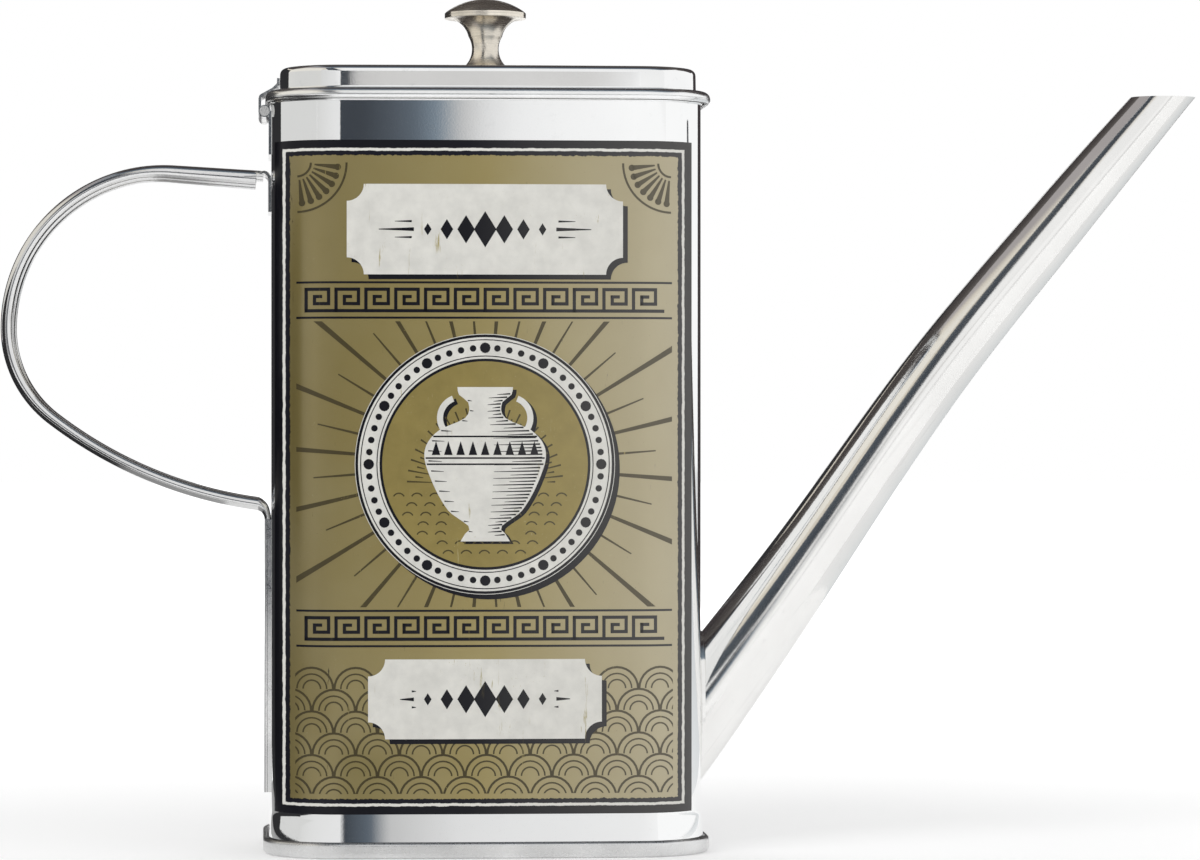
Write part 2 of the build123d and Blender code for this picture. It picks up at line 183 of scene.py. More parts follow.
class Finishes(bpy.types.PropertyGroup):
    """Colours of the metals and inks"""
    tin: colour("Tin", "Bright tinplate", (0.95, 0.955, 0.955))
    tin_dull: colour("Dull tin", "Tinplate inside and underneath", (0.62, 0.62, 0.6))
    seam: colour("Seam", "Tinplate of the base seam", (0.8, 0.8, 0.8))
    spout_tin: colour("Spout tin", "Tinplate of the spout", (0.9, 0.895, 0.88))
    strap: colour("Strap", "Plated steel of the handle", (0.8, 0.8, 0.8))
    knob: colour("Knob", "Plated brass of the knob", (0.93, 0.865, 0.76))
    hinge: colour("Hinge", "Steel of the hinge", (0.82, 0.82, 0.81))
    gold: colour("Gold", "Ground of the print", (0.33, 0.26, 0.085))
    gold_worn: colour("Worn gold", "Rubbed ground of the print", (0.42, 0.36, 0.17))
    olive: colour("Olive", "Dark tone of the print", (0.07, 0.055, 0.022))
    black: colour("Black", "Black ink", (0.003, 0.003, 0.007))
    cream: colour("Cream", "Cream ink", (0.8, 0.79, 0.74))


class StageSettings(bpy.types.PropertyGroup):
    """Camera, floor and light"""
    eye_side: size("Eye side", "Where the camera stands along X", -42.5 * MM)
    eye_back: size("Eye back", "Where the camera stands along Y", -873 * MM)
    eye_height: size("Eye height", "How high the camera stands", 80.5 * MM)
    turn: slant("Turn", "How far the camera turns towards the spout", 3.352)
    tilt: slant("Tilt", "How far the camera tilts up", 0)
    lens: FloatProperty(name="Lens", description="Focal length", default=135.5, unit="CAMERA")
    slide: FloatProperty(name="Slide", description="Sideways shift of the lens", default=0.06)
    floor: colour("Floor", "Colour of the floor", (0.82, 0.82, 0.82))
    sky: share("Sky", "Strength of the surroundings on matt surfaces", 0.62)


GROUPS = {
    "tin_sizes": TinSizes,
    "tin_knob": KnobSizes,
    "tin_handle": HandleSizes,
    "tin_spout": SpoutSizes,
    "tin_label": LabelSizes,
    "tin_finishes": Finishes,
    "tin_stage": StageSettings,
}


# Lines and profiles

def arc_through(start, middle, end, steps):
    """Points of the arc from start through middle to end, in a plane."""
    ax, az = start
    bx, bz = middle
    cx, cz = end
    turn = 2 * (ax * (bz - cz) + bx * (cz - az) + cx * (az - bz))
    a2, b2, c2 = ax**2 + az**2, bx**2 + bz**2, cx**2 + cz**2
    ox = (a2 * (bz - cz) + b2 * (cz - az) + c2 * (az - bz)) / turn
    oz = (a2 * (cx - bx) + b2 * (ax - cx) + c2 * (bx - ax)) / turn
    radius = hypot(ax - ox, az - oz)
    first = atan2(az - oz, ax - ox)
    through = (atan2(bz - oz, bx - ox) - first) % (2 * pi)
    sweep = (atan2(cz - oz, cx - ox) - first) % (2 * pi)
    if through > sweep:
        sweep -= 2 * pi
    return [
        (ox + radius * cos(first + sweep * k / steps), oz + radius * sin(first + sweep * k / steps))
        for k in range(steps + 1)
    ]


def rounded(corners, hold=0.12 * MM, steps=7):
    """Points of a profile whose corners are (out, height, radius), held flat beside each bend."""
    points = [Vector(corners[0][:2])]
    for before, corner, after in zip(corners, corners[1:], corners[2:]):
        here = Vector(corner[:2])
        back = (Vector(before[:2]) - here).normalized()
        ahead = (Vector(after[:2]) - here).normalized()
        radius = corner[2]
        if not radius:
            points.append(here)
            continue
        half = back.angle(ahead) / 2
        reach = radius / tan(half)
        centre = here + (back + ahead).normalized() * (radius / sin(half))
        first = here + back * reach
        last = here + ahead * reach
        middle = centre + (here - centre).normalized() * radius
        points.append(first + back * hold)
        points += [Vector(p) for p in arc_through(first, middle, last, steps)]
        points.append(last + ahead * hold)
    points.append(Vector(corners[-1][:2]))
    return points


def eased(stops, along):
    """Value at along of a smooth curve through stops of (place, value)."""
    places = [s[0] for s in stops]
    values = [Vector(s[1]) if hasattr(s[1], "__len__") else s[1] for s in stops]
    slopes = []
    for k in range(len(stops)):
        low, high = max(k - 1, 0), min(k + 1, len(stops) - 1)
        slopes.append((values[high] - values[low]) / (places[high] - places[low]))
    k = max(i for i in range(len(stops) - 1) if places[i] <= along or i == 0)
    span = places[k + 1] - places[k]
    t = (along - places[k]) / span
    return (
        values[k] * (2 * t**3 - 3 * t**2 + 1)
        + slopes[k] * span * (t**3 - 2 * t**2 + t)
        + values[k + 1] * (3 * t**2 - 2 * t**3)
        + slopes[k + 1] * span * (t**3 - t**2)
    )


class Plan:
    """Outline of the wall seen from above: bowed front and back, flat sides, round corners."""

    def __init__(self, sizes):
        self.radius = sizes.corner_radius
        self.half_depth = sizes.half_depth
        self.bow_radius = (half_width**2 + sizes.face_bow**2) / (2 * sizes.face_bow)
        self.drop = self.bow_radius - sizes.half_depth
        self.corner_x = half_width - self.radius
        lean = sqrt((self.bow_radius - self.radius) ** 2 - self.corner_x**2)
        self.corner_y = lean - self.drop
        self.meet_x = self.corner_x * self.bow_radius / (self.bow_radius - self.radius)

    def outward(self, point):
        """Unit vector that points out of the outline at one of its points."""
        side = 1 if point.y > 0 else -1
        if abs(point.y) <= self.corner_y:
            return Vector((1 if point.x > 0 else -1, 0, 0))
        if abs(point.x) < self.meet_x:
            return Vector((point.x, point.y + side * self.drop, 0)).normalized()
        corner = Vector((self.corner_x if point.x > 0 else -self.corner_x, side * self.corner_y, 0))
        return (Vector((point.x, point.y, 0)) - corner).normalized()

    def front(self, x, grow):
        """Y of the front, moved out by grow, at one X."""
        x = abs(x)
        big = self.bow_radius + grow
        if x < self.meet_x * big / self.bow_radius:
            return self.drop - sqrt(big**2 - x**2)
        past = min(x - self.corner_x, self.radius + grow)
        return -self.corner_y - sqrt((self.radius + grow) ** 2 - past**2)

    def ring(self, bm, long_cuts=40, corner_steps=20):
        """A closed ring of edges on the outline. Each vertex remembers its seat and its outward."""
        bmesh.ops.create_grid(bm, x_segments=1, y_segments=1, size=1)
        depth = self.corner_y + self.radius
        bmesh.ops.scale(bm, vec=(half_width, depth, 1), verts=bm.verts)
        bmesh.ops.bevel(
            bm, geom=bm.verts[:], offset=self.radius, offset_type="ABSOLUTE",
            segments=corner_steps, profile=0.5, affect="VERTICES", material=-1,
        )
        bmesh.ops.delete(bm, geom=bm.faces[:], context="FACES_ONLY")
        long_edges = [
            e for e in bm.edges
            if all(abs(abs(v.co.y) - depth) < HAIR for v in e.verts) and e.calc_length() > self.radius
        ]
        bmesh.ops.subdivide_edges(bm, edges=long_edges, cuts=long_cuts)
        seat = bm.verts.layers.float_vector.new("seat")
        outward = bm.verts.layers.float_vector.new("outward")
        for v in bm.verts:
            if abs(v.co.x) < self.meet_x and abs(v.co.y) > self.corner_y:
                side = 1 if v.co.y > 0 else -1
                v.co.y = side * (sqrt(self.bow_radius**2 - v.co.x**2) - self.drop)
            v[seat] = v.co
            v[outward] = self.outward(v.co)
        return seat, outward


# Meshes and pieces

def extruded(bm, ring):
    """Extrudes a ring of edges in its place. Gives the new vertices and the new ring."""
    made = bmesh.ops.extrude_edge_only(bm, edges=ring)["geom"]
    fresh = {g for g in made if isinstance(g, bmesh.types.BMVert)}
    edges = [
        g for g in made if isinstance(g, bmesh.types.BMEdge) and all(v in fresh for v in g.verts)
    ]
    return fresh, edges


def cut_off(bm, place, way):
    """Cuts off what lies past a plane, on the side that it faces. Gives the edges of the cut."""
    cut = bmesh.ops.bisect_plane(
        bm, geom=bm.verts[:] + bm.edges[:] + bm.faces[:], plane_co=place, plane_no=way,
        clear_outer=True,
    )["geom_cut"]
    return [g for g in cut if isinstance(g, bmesh.types.BMEdge)]


def frame_of(across, into, along, place):
    """Matrix with these three axes at a place."""
    matrix = Matrix((across, into, along)).transposed().to_4x4()
    matrix.translation = place
    return matrix


def mesh_from(bm, name):
    """Turns a bmesh into a mesh and frees it."""
    mesh = bpy.data.meshes.new(name)
    bm.to_mesh(mesh)
    bm.free()
    return mesh


def sweep_wall(plan, profile, shift=0.0, closed=False):
    """A wall that follows the plan outline, its section given as (out, height) points."""
    bm = bmesh.new()
    seat, outward = plan.ring(bm)

    def place(verts, out, height):
        for v in verts:
            v.co = v[seat] + v[outward] * out + Vector((shift, 0, height))

    place(bm.verts, *profile[0])
    ring = bm.edges[:]
    first = list(ring)
    for out, height in profile[1:]:
        fresh, ring = extruded(bm, ring)
        place(fresh, out, height)
    if closed:
        bmesh.ops.bridge_loops(bm, edges=first + ring)
    else:
        bmesh.ops.edgeloop_fill(bm, edges=first)
        bmesh.ops.edgeloop_fill(bm, edges=ring)
    bmesh.ops.recalc_face_normals(bm, faces=bm.faces)
    return bm


def sweep_section(bm, edges, frames):
    """Extrudes a section through a list of matrices and closes both ends."""
    ring = list(edges)
    for before, after in zip(frames, frames[1:]):
        fresh, ring = extruded(bm, ring)
        bmesh.ops.transform(bm, matrix=after @ before.inverted(), verts=list(fresh))
    bmesh.ops.triangle_fill(bm, use_beauty=True, edges=list(edges))
    bmesh.ops.triangle_fill(bm, use_beauty=True, edges=ring)


def piece_from(bm, name, finish, body, replaces=(), crease=32):
    """Makes a finished piece that rides on a body and stands for CAD nodes."""
    if bm.calc_volume(signed=True) < 0:
        bmesh.ops.reverse_faces(bm, faces=bm.faces)
    mesh = mesh_from(bm, name)
    mesh.shade_smooth()
    mesh.set_sharp_from_angle(angle=radians(crease))
    mesh.materials.append(finish)
    piece = bpy.data.objects.new(name, mesh)
    bpy.context.scene.collection.objects.link(piece)
    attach(piece, body)
    if replaces:
        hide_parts(*replaces)
    return piece


def merged_copy(node):
    """A copy of a CAD node's mesh with its triangles joined and its flats cleaned."""
    bm = bmesh.new()
    bm.from_mesh(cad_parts[node].data)
    bmesh.ops.remove_doubles(bm, verts=bm.verts, dist=HAIR)
    bmesh.ops.dissolve_limit(
        bm, angle_limit=radians(0.5), verts=bm.verts, edges=bm.edges, delimit=set()
    )
    return bm


# Finishes

def node(tree, kind, inputs=None, **settings):
    """Adds a shader node. Inputs are values, or sockets to link."""
    made = tree.nodes.new(kind)
    for name, value in settings.items():
        setattr(made, name, value)
    for key, value in (inputs or {}).items():
        if isinstance(value, bpy.types.NodeSocket):
            tree.links.new(value, made.inputs[key])
        else:
            made.inputs[key].default_value = value
    return made


def maths(tree, operation, first, second=0.0, clamp=False):
    """Result of one Math node."""
    return node(
        tree, "ShaderNodeMath", {0: first, 1: second}, operation=operation, use_clamp=clamp
    ).outputs[0]


def between(tree, value, low, high, to_low=0.0, to_high=1.0):
    """Value, taken from one range to another and kept inside it."""
    return node(
        tree, "ShaderNodeMapRange",
        {"Value": value, "From Min": low, "From Max": high, "To Min": to_low, "To Max": to_high},
    ).outputs[0]


def mixed(tree, factor, first, second):
    """Colour between two colours."""
    made = node(tree, "ShaderNodeMix", {0: factor}, data_type="RGBA")
    for index, value in ((6, first), (7, second)):
        if isinstance(value, bpy.types.NodeSocket):
            tree.links.new(value, made.inputs[index])
        else:
            made.inputs[index].default_value = (*value[:3], 1)
    return made.outputs[2]


def place_of(tree, stretch=(1, 1, 1), turn=(0, 0, 0)):
    """Object coordinates, turned and then stretched."""
    where = node(tree, "ShaderNodeTexCoord").outputs["Object"]
    turned = node(tree, "ShaderNodeMapping", {"Vector": where, "Rotation": turn}).outputs[0]
    return node(tree, "ShaderNodeMapping", {"Vector": turned, "Scale": stretch}).outputs[0]


def mottle(tree, where, feature, detail=4.0, rough=0.55):
    """Noise from 0 to 1 whose patches are about feature metres across."""
    return node(
        tree, "ShaderNodeTexNoise",
        {"Vector": where, "Scale": 1 / feature, "Detail": detail, "Roughness": rough},
    ).outputs["Fac"]


def blank_finish(name):
    """A material with only its shader, and its node tree."""
    material = bpy.data.materials.new(name)
    material.use_nodes = True
    tree = material.node_tree
    return material, tree, tree.nodes["Principled BSDF"]


def bare_tree(block):
    """The emptied node tree of a material or a world."""
    block.use_nodes = True
    block.node_tree.nodes.clear()
    return block.node_tree


def metal_finish(name, tone, rough, grain=0.35 * MM, grain_depth=0.003 * MM, streak=None,
                 streak_turn=(0, 0, 0), patch=0.08, spots=0.5, bright=None):
    """Bright sheet metal: mottled tone, sandy grain, fine streaks and a few rubbed spots.

    Bright gives two heights. The metal is smooth between them and duller below and above.
    """
    cloud, rub, low_fade, high_fade = 14 * MM, 2.2 * MM, 0.3 * MM, 0.1 * MM
    material, tree, shader = blank_finish(name)
    shader.inputs["Metallic"].default_value = 1.0
    where = place_of(tree)
    broad = mottle(tree, where, cloud, 3)
    fine = mottle(tree, where, grain, 3, 0.6)
    rubbed = between(tree, mottle(tree, where, rub, 6, 0.7), 0.58, 0.78)
    darker = tuple(c * (1 - patch) for c in tone)
    rubbed_tone = tuple(c * 0.82 for c in tone)
    toned = mixed(tree, between(tree, broad, 0.3, 0.7), darker, tone)
    toned = mixed(tree, maths(tree, "MULTIPLY", rubbed, spots), toned, rubbed_tone)
    roughness = maths(tree, "ADD", between(tree, fine, 0.25, 0.75, rough * 0.7, rough * 1.4),
                      maths(tree, "MULTIPLY", rubbed, 0.12 * spots))
    height = fine
    if bright:
        level = node(tree, "ShaderNodeSeparateXYZ", {0: where}).outputs[2]
        below = between(tree, level, bright[0] - low_fade, bright[0] + low_fade, 0.18, 0.0)
        above = between(tree, level, bright[1] - high_fade, bright[1], 0.0, 0.1)
        roughness = maths(tree, "ADD", roughness, maths(tree, "ADD", below, above))
    if streak:
        lines = mottle(tree, place_of(tree, streak, streak_turn), 1.0, 4, 0.6)
        toned = mixed(tree, between(tree, lines, 0.58, 0.72, 0, 0.35), toned, rubbed_tone)
        roughness = maths(tree, "ADD", roughness, between(tree, lines, 0.4, 0.7, 0, 0.06))
        height = maths(tree, "ADD", height, maths(tree, "MULTIPLY", lines, 0.6))
    bump = node(tree, "ShaderNodeBump", {"Height": height, "Distance": grain_depth, "Strength": 1.0})
    tree.links.new(toned, shader.inputs["Base Color"])
    tree.links.new(roughness, shader.inputs["Roughness"])
    tree.links.new(bump.outputs[0], shader.inputs["Normal"])
    return material


# Tone of the painted sheen, a painted reflection that pales the print toward the spout
PAINTED_SHEEN_TONE = (0.66, 0.64, 0.6)


def lacquered(tree, shader, toned, where, bronze=0.0, coat=0.25):
    """Gives a print its lacquer: a glossy coat over slightly uneven ink, partly of bronze powder, and a
    painted sheen that pales it toward the spout.
    """
    ink_grain, ink_depth = 0.3 * MM, 0.003 * MM
    grain = mottle(tree, where, ink_grain, 3)
    across = node(tree, "ShaderNodeSeparateXYZ", {0: where}).outputs[0]
    # Painted reflection: the print pales toward the spout as if it mirrored brighter light there
    painted_sheen = between(tree, across, 0.1 * label_low.x, label_high.x, 0.0, 0.13)
    toned = mixed(tree, painted_sheen, toned, PAINTED_SHEEN_TONE)
    tree.links.new(toned, shader.inputs["Base Color"])
    tree.links.new(between(tree, grain, 0.2, 0.8, 0.26, 0.4), shader.inputs["Roughness"])
    bump = node(tree, "ShaderNodeBump", {"Height": grain, "Distance": ink_depth, "Strength": 1.0})
    tree.links.new(bump.outputs[0], shader.inputs["Normal"])
    for name, value in (("Metallic", bronze), ("Coat Weight", coat)):
        if isinstance(value, bpy.types.NodeSocket):
            tree.links.new(value, shader.inputs[name])
        else:
            shader.inputs[name].default_value = value
    shader.inputs["Specular IOR Level"].default_value = 0.12
    shader.inputs["Coat Roughness"].default_value = 0.2
    shader.inputs["Coat IOR"].default_value = 1.6


def ink_finish(name, tone, worn_tone, wear, bronze=0.0):
    """Printed ink, rubbed through in specks and short scratches."""
    speck, zone, cloud = 0.5 * MM, 9 * MM, 3 * MM
    material, tree, shader = blank_finish(name)
    where = place_of(tree)
    specks = between(tree, mottle(tree, where, speck, 6, 0.75), 0.66 - wear, 0.7 - wear)
    zones = between(tree, mottle(tree, where, zone, 2), 0.45, 0.62)
    scratch = between(tree, mottle(tree, place_of(tree, (900, 900, 90)), 1.0, 5, 0.7), 0.64, 0.68)
    worn = maths(tree, "MULTIPLY", maths(tree, "MAXIMUM", specks, scratch), zones)
    tone_low = tuple(c * 0.86 for c in tone)
    inked = mixed(tree, between(tree, mottle(tree, where, cloud, 4), 0.3, 0.7), tone_low, tone)
    lacquered(tree, shader, mixed(tree, worn, inked, worn_tone), where, bronze)
    return material


def print_ground(sizes, tones):
    """Ground of the print: a black border, a white and a dark line, then old gold."""
    material, tree, shader = blank_finish("print_ground")
    where = place_of(tree)
    parts = node(tree, "ShaderNodeSeparateXYZ", {0: where}).outputs
    left = maths(tree, "SUBTRACT", parts[0], label_low.x)
    right = maths(tree, "SUBTRACT", label_high.x, parts[0])
    low = maths(tree, "SUBTRACT", parts[2], label_low.z)
    high = maths(tree, "SUBTRACT", label_high.z, parts[2])
    inside = maths(tree, "MINIMUM", maths(tree, "MINIMUM", left, right),
                   maths(tree, "MINIMUM", low, high))
    # The printed lines wander a little: each takes a length of wave and how far it strays
    line_wave, line_stray = 1.6 * MM, 0.1 * MM
    gold_wave, gold_stray = 0.7 * MM, 0.17 * MM
    wander = between(tree, mottle(tree, where, line_wave, 5, 0.7), 0.3, 0.7, -line_stray, line_stray)
    ragged = between(tree, mottle(tree, where, gold_wave, 5, 0.7), 0.3, 0.7, -gold_stray, gold_stray)
    white_start = sizes.border
    white_end = white_start + sizes.white_line
    dark_end = white_end + sizes.dark_line
    crisp = 0.06 * MM
    edge_one = maths(tree, "ADD", inside, wander)
    edge_two = maths(tree, "ADD", inside, ragged)
    is_white = between(tree, edge_one, white_start, white_start + crisp)
    is_dark = between(tree, edge_one, white_end, white_end + crisp)
    is_gold = between(tree, edge_two, dark_end, dark_end + crisp)
    # Old gold: broad fading, rubbed specks and dark flecks in zones
    fade, speck, zone = 18 * MM, 0.45 * MM, 11 * MM
    faded = between(tree, mottle(tree, where, fade, 3), 0.35, 0.7)
    specks = between(tree, mottle(tree, where, speck, 6, 0.8), 0.61, 0.66)
    zones = between(tree, mottle(tree, where, zone, 3), 0.5, 0.64)
    flecks = between(tree, mottle(tree, place_of(tree, (1500, 1500, 260)), 1.0, 5, 0.7), 0.66, 0.7)
    gold = mixed(tree, maths(tree, "MULTIPLY", faded, 0.3), tones.gold, tones.gold_worn)
    gold = mixed(tree, maths(tree, "MULTIPLY", specks, zones), gold, tones.gold_worn)
    gold = mixed(tree, maths(tree, "MULTIPLY", flecks, zones), gold, tones.olive)
    # Painted shade deepens the gold toward the handle, and a painted reflection pales it toward the spout
    gold = mixed(tree, between(tree, parts[0], label_low.x, 0.0, 0.32, 0.0), gold, (0.0, 0.0, 0.0))
    gold = mixed(tree, between(tree, parts[0], 0.0, label_high.x, 0.0, 0.28), gold, PAINTED_SHEEN_TONE)
    toned = mixed(tree, is_white, tones.black, tones.cream)
    toned = mixed(tree, is_dark, toned, tuple(c * 1.5 for c in tones.black))
    toned = mixed(tree, is_gold, toned, gold)
    coat = between(tree, is_gold, 0.0, 1.0, 0.2, 1.0)
    lacquered(tree, shader, toned, where, maths(tree, "MULTIPLY", is_gold, 0.5), coat)
    return material


# Drawing on the print

class Drawing:
    """Flat shapes on the XZ plane that are then laid on the print as a thin layer of ink."""

    def __init__(self):
        self.bm = bmesh.new()

    def disc(self, x, z, radius, steps=48):
        """A round shape."""
        spot = Matrix.Translation((x, 0, z)) @ Matrix.Rotation(pi / 2, 4, "X")
        bmesh.ops.create_circle(self.bm, cap_ends=True, radius=radius, segments=steps, matrix=spot)

    def band(self, x, z, radius, width, start=0.0, sweep=2 * pi, steps=64):
        """A ring, or part of one, measured from +X round to +Z."""
        inner, outer = radius - width / 2, radius + width / 2
        first = [
            self.bm.verts.new((x + r * cos(start), 0, z + r * sin(start))) for r in (inner, outer)
        ]
        edge = self.bm.edges.new(first)
        whole = abs(sweep - 2 * pi) < 1e-6
        bmesh.ops.spin(
            self.bm, geom=[edge, *first], cent=(x, 0, z), axis=(0, 1, 0), angle=-sweep,
            steps=steps, use_merge=whole,
        )

    def shape(self, points):
        """A face with a few corners."""
        return self.bm.faces.new([self.bm.verts.new((x, 0, z)) for x, z in points])

    def bar(self, start, end, width, end_width=None):
        """A straight stroke, which may taper."""
        end_width = width if end_width is None else end_width
        run = Vector((end[0] - start[0], end[1] - start[1]))
        side = Vector((-run.y, run.x)).normalized()
        a, b = Vector(start), Vector(end)
        self.shape([
            a - side * width / 2, b - side * end_width / 2,
            b + side * end_width / 2, a + side * width / 2,
        ])

    def stroke(self, points, width):
        """A line of bars with square corners."""
        for a, b in zip(points, points[1:]):
            run = (Vector(b) - Vector(a)).normalized() * width / 2
            self.bar(Vector(a) - run, Vector(b) + run, width)

    def plate(self, x, z, width, height, scoop, steps=10):
        """A plate whose four corners are scooped out."""
        points = []
        for k, (sx, sz) in enumerate(((1, -1), (1, 1), (-1, 1), (-1, -1))):
            cx, cz = x + sx * width / 2, z + sz * height / 2
            start = pi + k * pi / 2
            for j in range(steps + 1):
                turn = start - j * pi / 2 / steps
                points.append((cx + scoop * cos(turn), cz + scoop * sin(turn)))
        return self.shape(points)

    def plate_rule(self, x, z, width, height, scoop, inset, rule):
        """A line that follows a scooped plate inside its edge."""
        face = self.plate(x, z, width - 2 * inset, height - 2 * inset, scoop)
        bmesh.ops.inset_region(self.bm, faces=[face], thickness=rule, use_even_offset=True)
        bmesh.ops.delete(self.bm, geom=[face], context="FACES")

    def clip(self, left, right, low, high):
        """Cuts off what lies outside a rectangle."""
        for place, way in (
            ((left, 0, 0), (-1, 0, 0)), ((right, 0, 0), (1, 0, 0)),
            ((0, 0, low), (0, 0, -1)), ((0, 0, high), (0, 0, 1)),
        ):
            cut_off(self.bm, place, way)

    def lay(self, plan, skin, lift, name, finish, sink=0.01 * MM):
        """Lays the shapes on the print, closed and as thick as their lift, and makes the piece."""
        flat_step, bend_step, flat_cuts = 4 * MM, 0.9 * MM, 6
        cuts = [k * flat_step for k in range(-flat_cuts, flat_cuts + 1)]
        reach = plan.corner_x
        while reach < half_width:
            cuts += [reach, -reach]
            reach += bend_step
        for x in cuts:
            bmesh.ops.bisect_plane(
                self.bm, geom=self.bm.verts[:] + self.bm.edges[:] + self.bm.faces[:],
                plane_co=(x, 0, 0), plane_no=(1, 0, 0), dist=HAIR / 10,
            )
        below = self.bm.verts[:]
        made = bmesh.ops.extrude_face_region(self.bm, geom=self.bm.faces[:], use_keep_orig=True)
        above = [g for g in made["geom"] if isinstance(g, bmesh.types.BMVert)]
        for v in below:
            v.co.y = plan.front(v.co.x, skin - sink)
        for v in above:
            v.co.y = plan.front(v.co.x, skin + lift)
        bmesh.ops.recalc_face_normals(self.bm, faces=self.bm.faces)
        return piece_from(self.bm, name, finish, "tin")


# Operators, one for each group of pieces

class OILTIN_OT_body(bpy.types.Operator):
    """Builds the tinplate wall with its curled mouth and flared foot"""
    bl_idname = "oil_tin.body"
    bl_label = "Body wall"

    CURL_BEND = 0.35 * MM

    def execute(self, context):
        sizes = context.scene.tin_sizes
        plan = Plan(sizes)
        finish = metal_finish(
            "bright_tin", context.scene.tin_finishes.tin, rough=0.035, grain_depth=0.0012 * MM,
            patch=0.03, spots=0.25,
        )
        foot = base_low.z + sizes.seam_recess / 4
        flare_top = base_high.z + sizes.flare_height
        curl_low = mouth_height - sizes.curl_height
        profile = rounded([
            (sizes.foot_flare, foot, 0),
            (sizes.foot_flare, base_high.z, 0),
            (0, flare_top, sizes.flare_radius),
            (0, curl_low, 0),
            (sizes.curl_out, curl_low, self.CURL_BEND),
            (sizes.curl_out, mouth_height, sizes.curl_radius),
            (-sizes.sheet, mouth_height, 0),
            (-sizes.sheet, flare_top, 0),
            (sizes.foot_flare - sizes.sheet, base_high.z, 0),
            (sizes.foot_flare - sizes.sheet, foot, 0),
        ])
        bm = sweep_wall(plan, profile, closed=True)
        piece_from(bm, "body_wall", finish, "tin", ["body_shell"])
        return {"FINISHED"}


class OILTIN_OT_base(bpy.types.Operator):
    """Builds the pressed bottom with its double seam"""
    bl_idname = "oil_tin.base"
    bl_label = "Base"

    # Where the bottom's flat begins, and the seam's bends from its lip round to the panel
    FLAT_INSET = 3 * MM
    LIP_BEND, RIM_BEND, TOE_BEND, PANEL_BEND = 0.3 * MM, 0.7 * MM, 0.5 * MM, 0.6 * MM

    def execute(self, context):
        sizes = context.scene.tin_sizes
        finish = metal_finish(
            "seam_tin", context.scene.tin_finishes.seam, rough=0.3, patch=0.2, spots=1.0
        )
        out = base_high.x - half_width
        panel = sizes.foot_flare - 2 * sizes.sheet
        inner = -self.FLAT_INSET
        bm = sweep_wall(Plan(sizes), rounded([
            (inner, sizes.seam_recess + sizes.sheet, 0),
            (panel + sizes.sheet, sizes.seam_recess + sizes.sheet, 0),
            (panel + sizes.sheet, base_high.z, 0),
            (sizes.foot_flare, base_high.z - sizes.sheet / 2, 0),
            (sizes.foot_flare + sizes.sheet, base_high.z, self.LIP_BEND),
            (out, base_high.z, self.RIM_BEND),
            (out, base_low.z, sizes.seam_radius),
            (panel, base_low.z, self.TOE_BEND),
            (panel, sizes.seam_recess, self.PANEL_BEND),
            (inner, sizes.seam_recess, 0),
        ]))
        piece_from(bm, "base_seam", finish, "tin", ["base_pan"])
        return {"FINISHED"}


class OILTIN_OT_lid(bpy.types.Operator):
    """Builds the pressed lid with its band and rolled bead"""
    bl_idname = "oil_tin.lid"
    bl_label = "Lid"

    # Where the lid's flat begins, how far below its top the smooth metal ends, and its small bends
    FLAT_INSET = 6 * MM
    SMOOTH_END = 0.1 * MM
    CREASE_BEND, LIP_BEND, SHELF_BEND, CROWN_BEND = 0.25 * MM, 0.3 * MM, 0.6 * MM, 0.7 * MM

    def execute(self, context):
        sizes = context.scene.tin_sizes
        finish = metal_finish(
            "lid_tin", context.scene.tin_finishes.tin, rough=0.05, grain_depth=0.0008 * MM,
            spots=0.6, bright=(lid_high.z - sizes.band_height, lid_high.z - self.SMOOTH_END),
        )
        out = (lid_high.x - lid_low.x) / 2 - half_width
        top, low = lid_high.z, lid_low.z
        shelf = top - sizes.band_height
        inner = -self.FLAT_INSET
        bm = sweep_wall(Plan(sizes), rounded([
            (inner, top, 0),
            (-sizes.band_inset - sizes.band_draft, top, sizes.band_radius),
            (-sizes.band_inset, shelf, self.CREASE_BEND),
            (out, shelf, sizes.bead_radius),
            (out, low, sizes.bead_under),
            (out - 2.2 * sizes.sheet, low, self.LIP_BEND),
            (out - 2.2 * sizes.sheet, low + 3 * sizes.sheet, 0),
            (out - 1.2 * sizes.sheet, low + 3 * sizes.sheet, 0),
            (out - sizes.sheet, shelf - sizes.sheet, self.SHELF_BEND),
            (-sizes.band_inset - sizes.sheet, shelf - sizes.sheet, self.CREASE_BEND),
            (-sizes.band_inset - sizes.sheet, top - sizes.sheet, self.CROWN_BEND),
            (inner, top - sizes.sheet, 0),
        ]), shift=lid_shift)
        piece_from(bm, "lid_cap", finish, "lid", ["lid_shell"])
        return {"FINISHED"}


